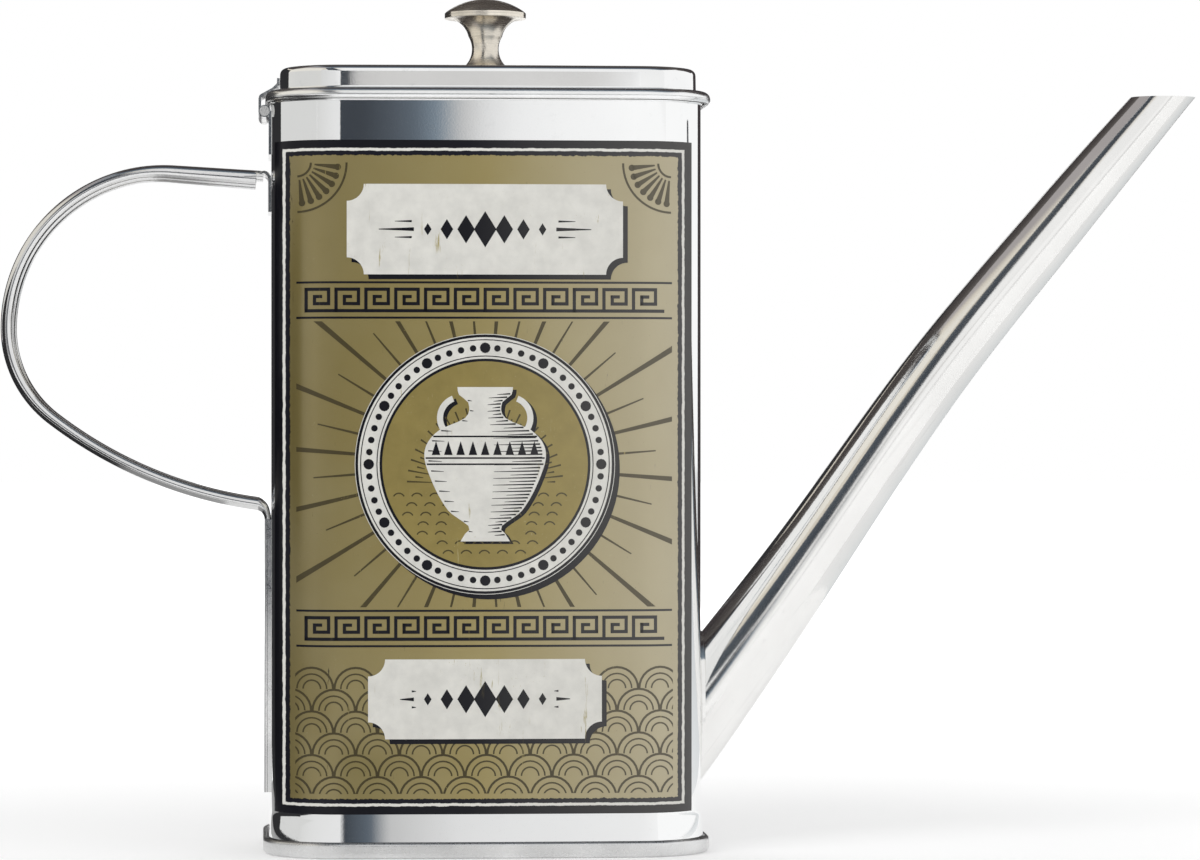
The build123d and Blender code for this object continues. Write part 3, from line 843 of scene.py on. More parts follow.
class OILTIN_OT_knob(bpy.types.Operator):
    """Builds the turned knob with its fine tool lines"""
    bl_idname = "oil_tin.knob"
    bl_label = "Knob"

    def execute(self, context):
        sizes = context.scene.tin_knob
        foot = knob_low.z
        height = knob_high.z - foot
        rim = (knob_high.x - knob_low.x) / 2
        rim_top = height - sizes.dome_height
        rim_low = rim_top - sizes.rim_height
        side = rim - sizes.rim_chamfer
        ball = (side**2 + sizes.dome_height**2) / (2 * sizes.dome_height)
        crown = (side / 2, height - ball + sqrt(ball**2 - side**2 / 4))
        hollow = (
            (sizes.under_radius + sizes.crease_radius) / 2 - sizes.cone_hollow,
            (rim_low + sizes.crease_height) / 2 + sizes.cone_hollow,
        )
        hold = 0.06 * MM
        outline = arc_through((0, height), crown, (side, rim_top), 14)
        outline += [
            (rim, rim_top - sizes.rim_chamfer),
            (rim, rim_top - sizes.rim_chamfer - hold),
            (rim, rim_low + hold),
            (rim, rim_low),
            (sizes.under_radius, rim_low),
        ]
        outline += arc_through(
            (sizes.under_radius, rim_low), hollow, (sizes.crease_radius, sizes.crease_height), 16
        )[1:]
        outline += arc_through(
            (sizes.crease_radius, sizes.crease_height), (sizes.neck_radius, sizes.neck_height),
            (sizes.foot_radius, sizes.foot_height), 20,
        )[1:]
        outline += [(sizes.foot_radius, 0), (0, 0)]
        bm = bmesh.new()
        verts = [bm.verts.new((lid_shift + r, 0, foot + z)) for r, z in outline]
        edges = [bm.edges.new(pair) for pair in zip(verts, verts[1:])]
        bmesh.ops.spin(
            bm, geom=verts + edges, cent=(lid_shift, 0, 0), axis=(0, 0, 1), angle=2 * pi,
            steps=96, use_merge=True,
        )
        bmesh.ops.remove_doubles(bm, verts=bm.verts, dist=HAIR)
        bmesh.ops.recalc_face_normals(bm, faces=bm.faces)
        piece_from(bm, "knob_turned", self.finish(context), "lid", ["knob"], crease=25)
        return {"FINISHED"}

    def finish(self, context):
        """Plated brass with rings from the lathe."""
        cloud_size, ring_depth = 3 * MM, 0.004 * MM
        tone = tuple(context.scene.tin_finishes.knob)
        material, tree, shader = blank_finish("turned_brass")
        shader.inputs["Metallic"].default_value = 1.0
        where = place_of(tree)
        rings = mottle(tree, place_of(tree, (40, 40, 5000)), 1.0, 3, 0.6)
        cloud = mottle(tree, where, cloud_size, 4)
        darker, darkest = (tuple(c * dim for c in tone) for dim in (0.8, 0.6))
        toned = mixed(tree, between(tree, cloud, 0.3, 0.7), darker, tone)
        toned = mixed(tree, between(tree, rings, 0.56, 0.7, 0, 0.4), toned, darkest)
        tree.links.new(toned, shader.inputs["Base Color"])
        tree.links.new(between(tree, rings, 0.3, 0.7, 0.16, 0.34), shader.inputs["Roughness"])
        around = node(tree, "ShaderNodeTangent", direction_type="RADIAL", axis="Z")
        tree.links.new(around.outputs[0], shader.inputs["Tangent"])
        shader.inputs["Anisotropic"].default_value = 0.85
        shader.inputs["Anisotropic Rotation"].default_value = 0.25
        bump = node(tree, "ShaderNodeBump", {"Height": rings, "Distance": ring_depth, "Strength": 1.0})
        tree.links.new(bump.outputs[0], shader.inputs["Normal"])
        return material


class OILTIN_OT_fittings(bpy.types.Operator):
    """Builds the hinge, its pin, and the screw and washer under the lid"""
    bl_idname = "oil_tin.fittings"
    bl_label = "Hinge and screw"

    def execute(self, context):
        tones = context.scene.tin_finishes
        hinge = metal_finish(
            "hinge_steel", tones.hinge, rough=0.1, grain_depth=0.0015 * MM, patch=0.15, spots=0.9
        )
        pin = metal_finish("pin_steel", tones.hinge, rough=0.3, patch=0.2)
        screw = metal_finish("screw_steel", tones.tin_dull, rough=0.28, patch=0.15)
        for node_name, name, finish, body, slot in (
            ("hinge_body_leaf", "hinge_leaf_low", hinge, "tin", "hinge_steel"),
            ("hinge_lid_leaf", "hinge_leaf_high", hinge, "lid", "hinge_steel"),
            ("hinge_pin", "hinge_wire", pin, "tin", "pin_steel"),
            ("knob_screw", "screw_slotted", screw, "lid", "screw_steel"),
            ("knob_washer", "washer_flat", screw, "lid", "screw_steel"),
        ):
            piece_from(merged_copy(node_name), name, finish, body, [node_name])
        return {"FINISHED"}


class OILTIN_OT_handle(bpy.types.Operator):
    """Builds the strap handle with its rolled edges, tab and long leg"""
    bl_idname = "oil_tin.handle"
    bl_label = "Handle"

    def execute(self, context):
        sizes = context.scene.tin_handle
        web = sizes.strap / 2
        half_strap = (handle_high.y - handle_low.y) / 2
        line = self.loop(sizes, web)
        start, start_heading = line[0]
        stub = start - start_heading * (sizes.hem_start - sizes.stub_gap)
        tab = self.bend(stub, -start_heading, sizes.tab_bend, -half_width - web, sizes.tab_length)
        end, end_heading = line[-1]
        leg = self.bend(end, end_heading, sizes.low_bend, -half_width - sizes.leg_fold - web, None)
        flat = (sizes.leg_fold + sizes.strap) / (2 * sizes.hem_radius)
        low_turn = leg[1:-1]
        # The rolled edges are pressed flat at the stub, swell at the top end and thin out past the crown
        places = [(stub, start_heading, sizes.stub_share)]
        places += [(start - start_heading * sizes.stub_gap / 20, start_heading, sizes.stub_share)]
        heights = [point.z for point, heading in line]
        swell_end = 1.6 * heights.index(max(heights))
        places += [
            (point, heading, 1 + sizes.hem_swell * max(0, 1 - k / swell_end))
            for k, (point, heading) in enumerate(line)
        ]
        places += [
            (point, heading, 1 + (flat - 1) * min(1.5 * k / len(low_turn), 1))
            for k, (point, heading) in enumerate(low_turn) if k
        ]
        frames = [self.frame_at(point, heading, share, web) for point, heading, share in places]
        bm = bmesh.new()
        self.rolled_section(bm, sizes, web, half_strap)
        bmesh.ops.transform(bm, matrix=frames[0], verts=bm.verts)
        sweep_section(bm, bm.edges[:], frames)
        self.strip(bm, tab, web, half_strap)
        self.strip(bm, leg[-2:], web, half_strap)
        leg_top = leg[-2][0].z
        for side in (-1, 1):
            fold = bmesh.ops.create_cube(bm, size=1)["verts"]
            height = leg_top - handle_low.z
            bmesh.ops.scale(bm, vec=(sizes.leg_fold, sizes.fold_width, height), verts=fold)
            bmesh.ops.translate(
                bm, verts=fold,
                vec=(
                    -half_width - sizes.leg_fold / 2,
                    side * (half_strap - sizes.fold_width / 2),
                    handle_low.z + height / 2,
                ),
            )
        bmesh.ops.recalc_face_normals(bm, faces=bm.faces)
        finish = metal_finish(
            "strap_steel", context.scene.tin_finishes.strap, rough=0.1, grain=0.6 * MM,
            grain_depth=0.001 * MM, streak=(60, 900, 60), patch=0.12,
        )
        piece_from(bm, "handle_rolled", finish, "tin", ["handle_strap"], crease=40)
        return {"FINISHED"}

    def loop(self, sizes, web):
        """Points and headings along the loop, from its top end to its lower end."""
        belly_x = handle_low.x + web
        crown_end_x = -half_width - sizes.root_run
        crown_radius = (crown_end_x - belly_x) / (1 + sin(sizes.root_slope))
        belly_z = handle_high.z - web - crown_radius
        heel_radius = sizes.heel_radius - web
        start_x = -half_width - sizes.hem_start
        crown_end = (crown_end_x, belly_z + crown_radius * cos(sizes.root_slope))
        start_z = crown_end[1] - (start_x - crown_end_x) * tan(sizes.root_slope)
        leg_x = -half_width - sizes.leg_fold - web
        heel_end_x = belly_x + heel_radius * (1 - sin(sizes.heel_slope))
        low_turn = sizes.low_bend * (1 - sin(sizes.foot_slope))
        run_radius = (leg_x - low_turn - heel_end_x) / (sin(sizes.heel_slope) - sin(sizes.foot_slope))
        heading = pi - sizes.root_slope
        root_steps = 6
        line = [
            (
                start_x + (crown_end[0] - start_x) * k / root_steps,
                start_z + (crown_end[1] - start_z) * k / root_steps,
                heading,
            )
            for k in range(root_steps)
        ]
        point = crown_end
        for radius, turn, steps in (
            (crown_radius, pi / 2 + sizes.root_slope, 48),
            (heel_radius, pi / 2 - sizes.heel_slope, 24),
            (run_radius, sizes.heel_slope - sizes.foot_slope, 24),
        ):
            centre = (point[0] - radius * sin(heading), point[1] + radius * cos(heading))
            for k in range(steps + 1):
                angle = heading + turn * k / steps
                if k or radius == crown_radius:
                    line.append(
                        (centre[0] + radius * sin(angle), centre[1] - radius * cos(angle), angle)
                    )
            heading += turn
            point = line[-1][:2]
        return [(Vector((x, 0, z)), Vector((cos(a), 0, sin(a)))) for x, z, a in line]

    def frame_at(self, point, heading, share=1.0, web=0.0):
        """Matrix with X across the strap, Y into the loop and Z along it. A share thins or swells Y."""
        across = Vector((0, 1, 0))
        frame_here = frame_of(across, heading.cross(across), heading, point)
        outer = Matrix.Translation((0, -web, 0))
        return frame_here @ outer @ Matrix.Diagonal((1, share, 1, 1)) @ outer.inverted()

    def rolled_section(self, bm, sizes, web, half_strap):
        """The strap's section: a flat web between two rolled edges, each round a small hole."""
        hem_x = half_strap - sizes.hem_radius
        hem_y = sizes.hem_radius - web
        meet = pi + atan2(hem_y - web, sqrt(sizes.hem_radius**2 - (hem_y - web) ** 2))
        hold = 0.3 * MM
        steps = 26
        points = []
        for k in range(steps + 1):
            angle = -pi / 2 + (meet + pi / 2) * k / steps
            points.append((hem_x + sizes.hem_radius * cos(angle), hem_y + sizes.hem_radius * sin(angle)))
        right = [(hem_x - hold, -web)] + points + [(points[-1][0] - hold, web)]
        outline = right + [(-x, y) for x, y in reversed(right)]
        verts = [bm.verts.new((x, y, 0)) for x, y in outline]
        for a, b in zip(verts, verts[1:] + verts[:1]):
            bm.edges.new((a, b))
        for side in (-1, 1):
            spot = Matrix.Translation((side * hem_x, hem_y, 0))
            bmesh.ops.create_circle(bm, segments=14, radius=sizes.hem_bore, matrix=spot)

    def bend(self, start, heading, radius, end_x, drop):
        """Points and headings from the loop, round a bend and down the wall."""
        slope = atan2(heading.z, heading.x)
        turn = -pi / 2 - slope
        bend_x = end_x - radius * (1 - sin(-slope))
        bend_z = start.z + (bend_x - start.x) * tan(slope)
        centre = (bend_x + radius * sin(slope), bend_z - radius * cos(slope))
        line = [(start, heading)]
        steps = 12
        for k in range(steps + 1):
            angle = slope + turn * k / steps
            line.append((
                Vector((centre[0] - radius * sin(angle), 0, centre[1] + radius * cos(angle))),
                Vector((cos(angle), 0, sin(angle))),
            ))
        last = line[-1][0].z - drop if drop else handle_low.z
        line.append((Vector((end_x, 0, last)), Vector((0, 0, -1))))
        return line

    def strip(self, bm, line, web, half_strap):
        """A flat strip of the strap along a line."""
        edge = 0.15 * MM
        outline = [
            (half_strap - edge, -web), (half_strap, -web + edge), (half_strap, web - edge),
            (half_strap - edge, web), (edge - half_strap, web), (-half_strap, web - edge),
            (-half_strap, edge - web), (edge - half_strap, -web),
        ]
        frames = [self.frame_at(point, heading) for point, heading in line]
        verts = [bm.verts.new(frames[0] @ Vector((x, y, 0))) for x, y in outline]
        edges = [bm.edges.new(pair) for pair in zip(verts, verts[1:] + verts[:1])]
        sweep_section(bm, edges, frames)


class OILTIN_OT_spout(bpy.types.Operator):
    """Builds the rolled taper spout and its soldered lip"""
    bl_idname = "oil_tin.spout"
    bl_label = "Spout"

    # Points of the spout's line between wall and mouth, as shares of its reach and of its rise
    LINE_SHARES = ((0.194, 0.202), (0.513, 0.550), (0.785, 0.806))
    # Girth at shares of the line's length: 1 is the radius at the wall, and 0 that at the mouth
    GIRTH_SHARES = ((0, 1.10), (0.16, 0.86), (0.34, 0.57), (0.60, 0.38), (0.82, 0.20), (1, -0.04))
    ROUND_STEPS = 72
    # How far the lip reaches into the spout's sheet at the wall and at its crown
    LIP_ROOT, LIP_CROWN = 1.0 * MM, 0.6 * MM

    def execute(self, context):
        sizes = context.scene.tin_spout
        bm = bmesh.new()
        frames = self.stations(sizes)
        for inset in (0, sizes.wall):
            self.tube(bm, sizes, frames, inset)
        for place, way in (((0, 0, spout_high.z), (0, 0, 1)), ((half_width, 0, 0), (-1, 0, 0))):
            bmesh.ops.triangle_fill(bm, use_beauty=True, edges=cut_off(bm, place, way))
        bmesh.ops.recalc_face_normals(bm, faces=bm.faces)
        finish = metal_finish(
            "spout_tin", context.scene.tin_finishes.spout_tin, rough=0.07, streak=(1100, 1100, 30),
            streak_turn=(0, sizes.root_slope - pi / 2, 0), patch=0.06,
        )
        piece_from(bm, "spout_taper", finish, "tin", ["spout_tube"])
        piece_from(self.lip(sizes), "spout_lip", finish, "tin")
        return {"FINISHED"}

    def stations(self, sizes):
        """Matrices along the spout's line, each with its Z along the line."""
        rise = spout_high.z - sizes.root_height
        root = Vector((half_width, 0, sizes.root_height))
        root_run = Vector((cos(sizes.root_slope), 0, sin(sizes.root_slope)))
        tip = Vector((half_width + sizes.tip_reach, 0, spout_high.z))
        tip_run = Vector((cos(sizes.tip_slope), 0, sin(sizes.tip_slope)))
        points = [root - root_run * sizes.root_length, root]
        points += [
            Vector((half_width + sizes.tip_reach * across, 0, sizes.root_height + rise * up))
            for across, up in self.LINE_SHARES
        ]
        points += [tip, tip + tip_run * sizes.tip_length]
        stops, travelled = [(0.0, points[0])], 0.0
        for before, after in zip(points, points[1:]):
            travelled += (after - before).length
            stops.append((travelled, after))
        count = 72
        step = 0.5 * MM
        across = Vector((0, 1, 0))
        frames = []
        for k in range(count + 1):
            along = travelled * k / count
            ahead = eased(stops, min(along + step, travelled))
            behind = eased(stops, max(along - step, 0))
            run = (ahead - behind).normalized()
            frames.append((k / count, frame_of(across, run.cross(across), run, eased(stops, along))))
        return frames

    def tube(self, bm, sizes, frames, inset):
        """One skin of the spout, open at both ends."""
        made = bmesh.ops.create_circle(bm, segments=self.ROUND_STEPS, radius=1)["verts"]
        ring = list({e for v in made for e in v.link_edges})
        before = Matrix.Identity(4)
        for along, matrix in frames:
            girth = eased(self.GIRTH_SHARES, along)
            radius = sizes.tip_radius + girth * (sizes.root_radius - sizes.tip_radius) - inset
            after = matrix @ Matrix.Diagonal((radius, radius, 1, 1))
            if along > 0:
                made, ring = extruded(bm, ring)
            bmesh.ops.transform(bm, matrix=after @ before.inverted(), verts=list(made))
            before = after

    def lip(self, sizes):
        """The soldered lip: a thin oval washer round the root, rounded at its edge."""
        bm = bmesh.new()
        tall = sizes.root_radius / cos(sizes.root_slope)
        rings = []
        for out, lift in (
            (-self.LIP_ROOT, 0), (sizes.lip_out, 0), (sizes.lip_out, 0.5 * sizes.lip_height),
            (0.75 * sizes.lip_out, 0.9 * sizes.lip_height), (0.3 * sizes.lip_out, 1.3 * sizes.lip_height),
            (0, 2.6 * sizes.lip_height), (-self.LIP_CROWN, 2.8 * sizes.lip_height),
        ):
            verts = bmesh.ops.create_circle(bm, segments=self.ROUND_STEPS, radius=1)["verts"]
            level = sizes.root_height + lift * tan(sizes.root_slope)
            bmesh.ops.transform(
                bm, verts=verts,
                matrix=Matrix.Translation((half_width + lift, 0, level))
                @ Matrix.Rotation(pi / 2, 4, "Y")
                @ Matrix.Diagonal((tall + out, sizes.root_radius + out, 1, 1)),
            )
            rings.append(list({e for v in verts for e in v.link_edges}))
        for a, b in zip(rings, rings[1:] + rings[:1]):
            bmesh.ops.bridge_loops(bm, edges=a + b)
        bmesh.ops.recalc_face_normals(bm, faces=bm.faces)
        return bm


class Field:
    """The gold field of the print, inside its border."""

    # Heights that the ornament hangs on, as shares of the field's height
    HEIGHT_SHARES = {
        "title": 0.885, "upper_keys": 0.775, "medallion": 0.52, "lower_keys": 0.265, "foot": 0.155,
    }

    def __init__(self, sizes):
        inset = sizes.border + sizes.white_line + sizes.dark_line
        self.left = label_low.x + inset
        self.right = label_high.x - inset
        self.low = label_low.z + inset
        self.high = label_high.z - inset
        self.middle = (self.left + self.right) / 2

    def height(self, place):
        """Height of a named place."""
        return self.low + (self.high - self.low) * self.HEIGHT_SHARES[place]


class OILTIN_OT_label(bpy.types.Operator):
    """Builds the printed panel and the plain ornament on it"""
    bl_idname = "oil_tin.label"
    bl_label = "Printed panel"

    def execute(self, context):
        sizes = context.scene.tin_label
        tones = context.scene.tin_finishes
        plan = Plan(context.scene.tin_sizes)
        self.skin(plan, sizes, print_ground(sizes, tones))
        black = ink_finish("black_ink", tones.black, tones.olive, 0.0)
        olive = ink_finish("olive_ink", tones.olive, tones.gold, 0.03)
        cream = ink_finish("cream_ink", tones.cream, tones.gold_worn, 0.02)
        gold = ink_finish("gold_ink", tones.gold, tones.gold_worn, 0.04, bronze=0.5)
        for name, finish, layer, draw in (
            ("label_rays", olive, 1, self.rays),
            ("label_keys", black, 1, self.keys),
            ("label_scales", olive, 1, self.scales),
            ("label_fans", olive, 2, self.fans),
            ("label_shadows", black, 3, self.shadows),
            ("label_plates", cream, 4, self.plates),
            ("label_rules", black, 5, self.rules),
            ("label_field", gold, 5, self.roundel),
            ("label_jar_shadow", black, 6, self.jar_shadow),
            ("label_sea", olive, 6, self.sea),
            ("label_jar", cream, 7, self.jar),
            ("label_hatching", black, 8, self.hatching),
        ):
            pen = Drawing()
            draw(pen, sizes, Field(sizes))
            pen.lay(plan, sizes.skin, layer * sizes.ink, name, finish)
        return {"FINISHED"}

    def skin(self, plan, sizes, finish):
        """The panel itself, wrapped onto both front corners."""
        bm = sweep_wall(plan, [
            Vector((0, label_low.z)), Vector((sizes.skin, label_low.z)),
            Vector((sizes.skin, label_high.z)), Vector((0, label_high.z)),
        ], closed=True)
        for place, way in (
            ((label_low.x, 0, 0), (-1, 0, 0)), ((label_high.x, 0, 0), (1, 0, 0)), ((0, 0, 0), (0, 1, 0)),
        ):
            rim = cut_off(bm, place, way)
            if rim:
                bmesh.ops.contextual_create(bm, geom=rim)
        bmesh.ops.recalc_face_normals(bm, faces=bm.faces)
        piece_from(bm, "label_panel", finish, "tin", ["front_label"])

    # Clear strip inside the border, and clear height from the middle of a key band
    MARGIN, BAND_ROOM = 1.4 * MM, 4 * MM

    RAY_ROOT, LONG_RAY_TIP, SHORT_RAY_TIP = 0.55 * MM, 1.5 * MM, 0.25 * MM
    LONG_RAY, SHORT_RAY_SHARE, RAY_MARGIN = 60 * MM, 1.32, 1.2 * MM

    def rays(self, pen, sizes, field):
        """Long and short rays from the medallion to the edges of the field."""
        centre = Vector((field.middle, field.height("medallion")))
        for k in range(sizes.ray_count):
            angle = 2 * pi * (k + 0.5) / sizes.ray_count
            way = Vector((cos(angle), sin(angle)))
            reach = self.LONG_RAY if k % 2 else sizes.medallion * self.SHORT_RAY_SHARE
            tip = self.LONG_RAY_TIP if k % 2 else self.SHORT_RAY_TIP
            pen.bar(centre + way * sizes.medallion * 0.9, centre + way * reach, self.RAY_ROOT, tip)
        pen.clip(field.left + self.RAY_MARGIN, field.right - self.RAY_MARGIN,
                 field.height("lower_keys") + self.BAND_ROOM,
                 field.height("upper_keys") - self.BAND_ROOM)

    HOOK_SHARES = ((0, 0), (0, 1), (0.75, 1), (0.75, 0.33), (0.28, 0.33), (0.28, 0.66), (0.48, 0.66))
    KEY_HEIGHT_SHARE, KEY_LINE, KEY_RULE, KEY_RULE_GAP = 0.72, 0.62 * MM, 0.4 * MM, 1.3 * MM
    KEY_END_ROOM = 2 * MM

    def keys(self, pen, sizes, field):
        """Two bands of square keys between rules."""
        unit = sizes.key_width
        count = int((field.right - field.left - 2 * self.KEY_END_ROOM) / unit)
        start = field.middle - count * unit / 2
        tall = self.KEY_HEIGHT_SHARE * unit
        for place in ("upper_keys", "lower_keys"):
            z = field.height(place) - tall / 2
            for k in range(count):
                x = start + k * unit
                pen.stroke([(x + unit * a, z + tall * b) for a, b in self.HOOK_SHARES], self.KEY_LINE)
                pen.stroke([(x, z), (x + unit, z)], self.KEY_LINE)
            for rule in (-self.KEY_RULE_GAP, tall + self.KEY_RULE_GAP):
                ends = [(field.left + self.MARGIN, z + rule), (field.right - self.MARGIN, z + rule)]
                pen.stroke(ends, self.KEY_RULE)

    SCALE_RADIUS, SCALE_LIFT, SCALE_MARGIN = 4.1 * MM, 0.2 * MM, 1 * MM
    # Share of the scale's radius, and width, of each of its arcs
    SCALE_ARCS = ((0.97, 0.42 * MM), (0.68, 0.3 * MM), (0.4, 0.3 * MM))

    def scales(self, pen, sizes, field):
        """Rows of scales at the foot of the field."""
        radius = self.SCALE_RADIUS
        rows = int((field.height("lower_keys") - self.BAND_ROOM - field.low) / radius)
        for row in range(rows):
            z = field.low + row * radius + self.SCALE_LIFT
            x = field.left - (row % 2) * radius
            while x < field.right + radius:
                for share, width in self.SCALE_ARCS:
                    pen.band(x, z, radius * share, width, 0, pi, 14)
                x += 2 * radius
        pen.clip(field.left + self.SCALE_MARGIN, field.right - self.SCALE_MARGIN,
                 field.low + self.SCALE_MARGIN, field.high)

    PETALS, PETAL_START, PETAL_END = 7, 3.2 * MM, 7.6 * MM
    PETAL_ROOT, PETAL_WIDTH, PETAL_TIP = 0.3 * MM, 1.0 * MM, 0.62 * MM
    # Radius and steps of each arc of the fan
    FAN_ARCS, FAN_LINE = ((2.5 * MM, 12), (9.2 * MM, 24)), 0.4 * MM

    def fans(self, pen, sizes, field):
        """A fan of petals in each upper corner."""
        for side, x in ((1, field.left + self.MARGIN), (-1, field.right - self.MARGIN)):
            corner = Vector((x, field.high - self.MARGIN))
            for k in range(self.PETALS):
                angle = -pi / 2 + side * (pi / 2) * (k + 0.5) / self.PETALS
                way = Vector((cos(angle), sin(angle)))
                tip = corner + way * self.PETAL_END
                pen.bar(corner + way * self.PETAL_START, tip, self.PETAL_ROOT, self.PETAL_WIDTH)
                pen.disc(tip.x, tip.y, self.PETAL_TIP, 14)
            sweep_start = -pi / 2 if side > 0 else -pi
            for radius, steps in self.FAN_ARCS:
                pen.band(x, field.high - self.MARGIN, radius, self.FAN_LINE, sweep_start, pi / 2, steps)

    # Name, width and height of each plate, the scoop at their corners, and how far shadows fall
    PLATES = (("title", 52 * MM, 17 * MM), ("foot", 44 * MM, 15 * MM))
    SCOOP, SHADOW_FALL = 3.2 * MM, 0.9 * MM

    def shadows(self, pen, sizes, field):
        """Black drop shadows under the cream plates and the medallion."""
        fall = self.SHADOW_FALL
        pen.disc(field.middle + fall, field.height("medallion") - fall, sizes.medallion, 96)
        for place, width, height in self.PLATES:
            pen.plate(field.middle + fall, field.height(place) - fall, width, height, self.SCOOP)

    def plates(self, pen, sizes, field):
        """Cream plates and the medallion's cream rim."""
        rim = sizes.medallion * 0.2
        pen.band(field.middle, field.height("medallion"), sizes.medallion * 0.9, rim, steps=96)
        for place, width, height in self.PLATES:
            pen.plate(field.middle, field.height(place), width, height, self.SCOOP)

    # Share of the medallion's radius, and width, of each line on its rim
    RIM_LINES = ((0.985, 0.5 * MM), (0.8, 0.5 * MM), (0.955, 0.18 * MM), (0.83, 0.18 * MM))
    BEADS, BEAD_SHARE, BEAD, LARGE_BEAD = 60, 0.893, 0.62 * MM, 1.0 * MM
    # Inset and width of each line on a plate
    PLATE_LINES = ((0.8 * MM, 0.45 * MM), (1.7 * MM, 0.2 * MM))

    def rules(self, pen, sizes, field):
        """Lines and beads on the medallion's rim, and lines and lozenges on the plates."""
        z = field.height("medallion")
        for share, width in self.RIM_LINES:
            pen.band(field.middle, z, sizes.medallion * share, width, steps=96)
        reach = sizes.medallion * self.BEAD_SHARE
        for k in range(self.BEADS):
            angle = 2 * pi * k / self.BEADS
            bead = self.BEAD if k % 5 else self.LARGE_BEAD
            pen.disc(field.middle + reach * cos(angle), z + reach * sin(angle), bead, 12)
        for place, width, height in self.PLATES:
            for inset, rule in self.PLATE_LINES:
                pen.plate_rule(field.middle, field.height(place), width, height, self.SCOOP, inset, rule)
            self.lozenges(pen, field.middle, field.height(place), width)

    # Half height of the middle lozenge, how much each next one loses, and their pitch
    LOZENGE, LOZENGE_LOSS, LOZENGE_PITCH, LOZENGE_WIDTH_SHARE = 3.4 * MM, 0.75 * MM, 3.6 * MM, 0.62
    # Fine lines beside the lozenges: lift, start, room at the plate's end, and both widths
    FINE_LINES = (
        (0, 13.4 * MM, 6 * MM, 0.7 * MM, 0.15 * MM),
        (-1.5 * MM, 13.8 * MM, 9 * MM, 0.4 * MM, 0.1 * MM),
        (1.5 * MM, 13.8 * MM, 9 * MM, 0.4 * MM, 0.1 * MM),
    )

    def lozenges(self, pen, x, z, width):
        """A row of lozenges that shrink from the middle, with fine lines to both sides."""
        for k in range(-3, 4):
            tall = self.LOZENGE - self.LOZENGE_LOSS * abs(k)
            wide = tall * self.LOZENGE_WIDTH_SHARE
            place = x + k * self.LOZENGE_PITCH
            pen.shape([(place - wide, z), (place, z - tall), (place + wide, z), (place, z + tall)])
        for side in (-1, 1):
            for lift, start, room, root, tip in self.FINE_LINES:
                end = width / 2 - room
                pen.bar((x + side * start, z + lift), (x + side * end, z + lift), root, tip)

    def roundel(self, pen, sizes, field):
        """Gold field inside the medallion."""
        pen.disc(field.middle, field.height("medallion"), sizes.medallion * 0.79, 96)

    # The jar's half widths at shares of its height, both as shares of its height
    JAR_SHARES = (
        (0.0, 0.16), (0.05, 0.13), (0.09, 0.1), (0.2, 0.24), (0.45, 0.37), (0.6, 0.39), (0.72, 0.3),
        (0.8, 0.13), (0.9, 0.11), (0.95, 0.17), (1.0, 0.18),
    )
    JAR_HEIGHT = 29 * MM
    EAR_OUT, EAR_RADIUS, EAR_WIDTH, EAR_HEIGHT_SHARE = 4.6 * MM, 3.9 * MM, 1.15 * MM, 0.8

    def jar_radius(self, share):
        """Half width of the jar at a share of its height."""
        return self.JAR_HEIGHT * eased(self.JAR_SHARES, share)

    def jar_foot(self, field):
        """Height of the jar's foot."""
        return field.height("medallion") - self.JAR_HEIGHT * 0.5

    def draw_jar(self, pen, x, low):
        """Outline of the jar, row by row, and its two ears."""
        rows = 40
        verts = [pen.bm.verts.new((x + side * self.jar_radius(0), 0, low)) for side in (-1, 1)]
        edge = [pen.bm.edges.new(verts)]
        for k in range(1, rows + 1):
            fresh, edge = extruded(pen.bm, edge)
            wide = self.jar_radius(k / rows)
            for v in fresh:
                v.co = (x + (wide if v.co.x > x else -wide), 0, low + self.JAR_HEIGHT * k / rows)
        ear_z = low + self.JAR_HEIGHT * self.EAR_HEIGHT_SHARE
        for side, start in ((-1, 0.62 * pi), (1, -0.32 * pi)):
            pen.band(x + side * self.EAR_OUT, ear_z, self.EAR_RADIUS, self.EAR_WIDTH, start, 0.7 * pi, 20)

    JAR_SHADOW_RIGHT, JAR_SHADOW_DOWN = 0.7 * MM, 0.5 * MM

    def jar_shadow(self, pen, sizes, field):
        """Black shadow beside the jar."""
        low = self.jar_foot(field) - self.JAR_SHADOW_DOWN
        self.draw_jar(pen, field.middle + self.JAR_SHADOW_RIGHT, low)

    def jar(self, pen, sizes, field):
        """The cream jar."""
        self.draw_jar(pen, field.middle, self.jar_foot(field))

    # Engraver's lines: a thin and a thick end, and how far an end drops, on the dark and pale side
    DARK_HATCH, PALE_HATCH = (0.08 * MM, 0.3 * MM, 0.15 * MM), (0.24 * MM, 0.08 * MM, 0.1 * MM)
    SHOULDER_SHARES, SHOULDER_LINE = (0.5, 0.54, 0.68), 0.3 * MM
    TEETH, TOOTH_HALF, TOOTH_HEIGHT = 9, 0.8 * MM, 2.6 * MM

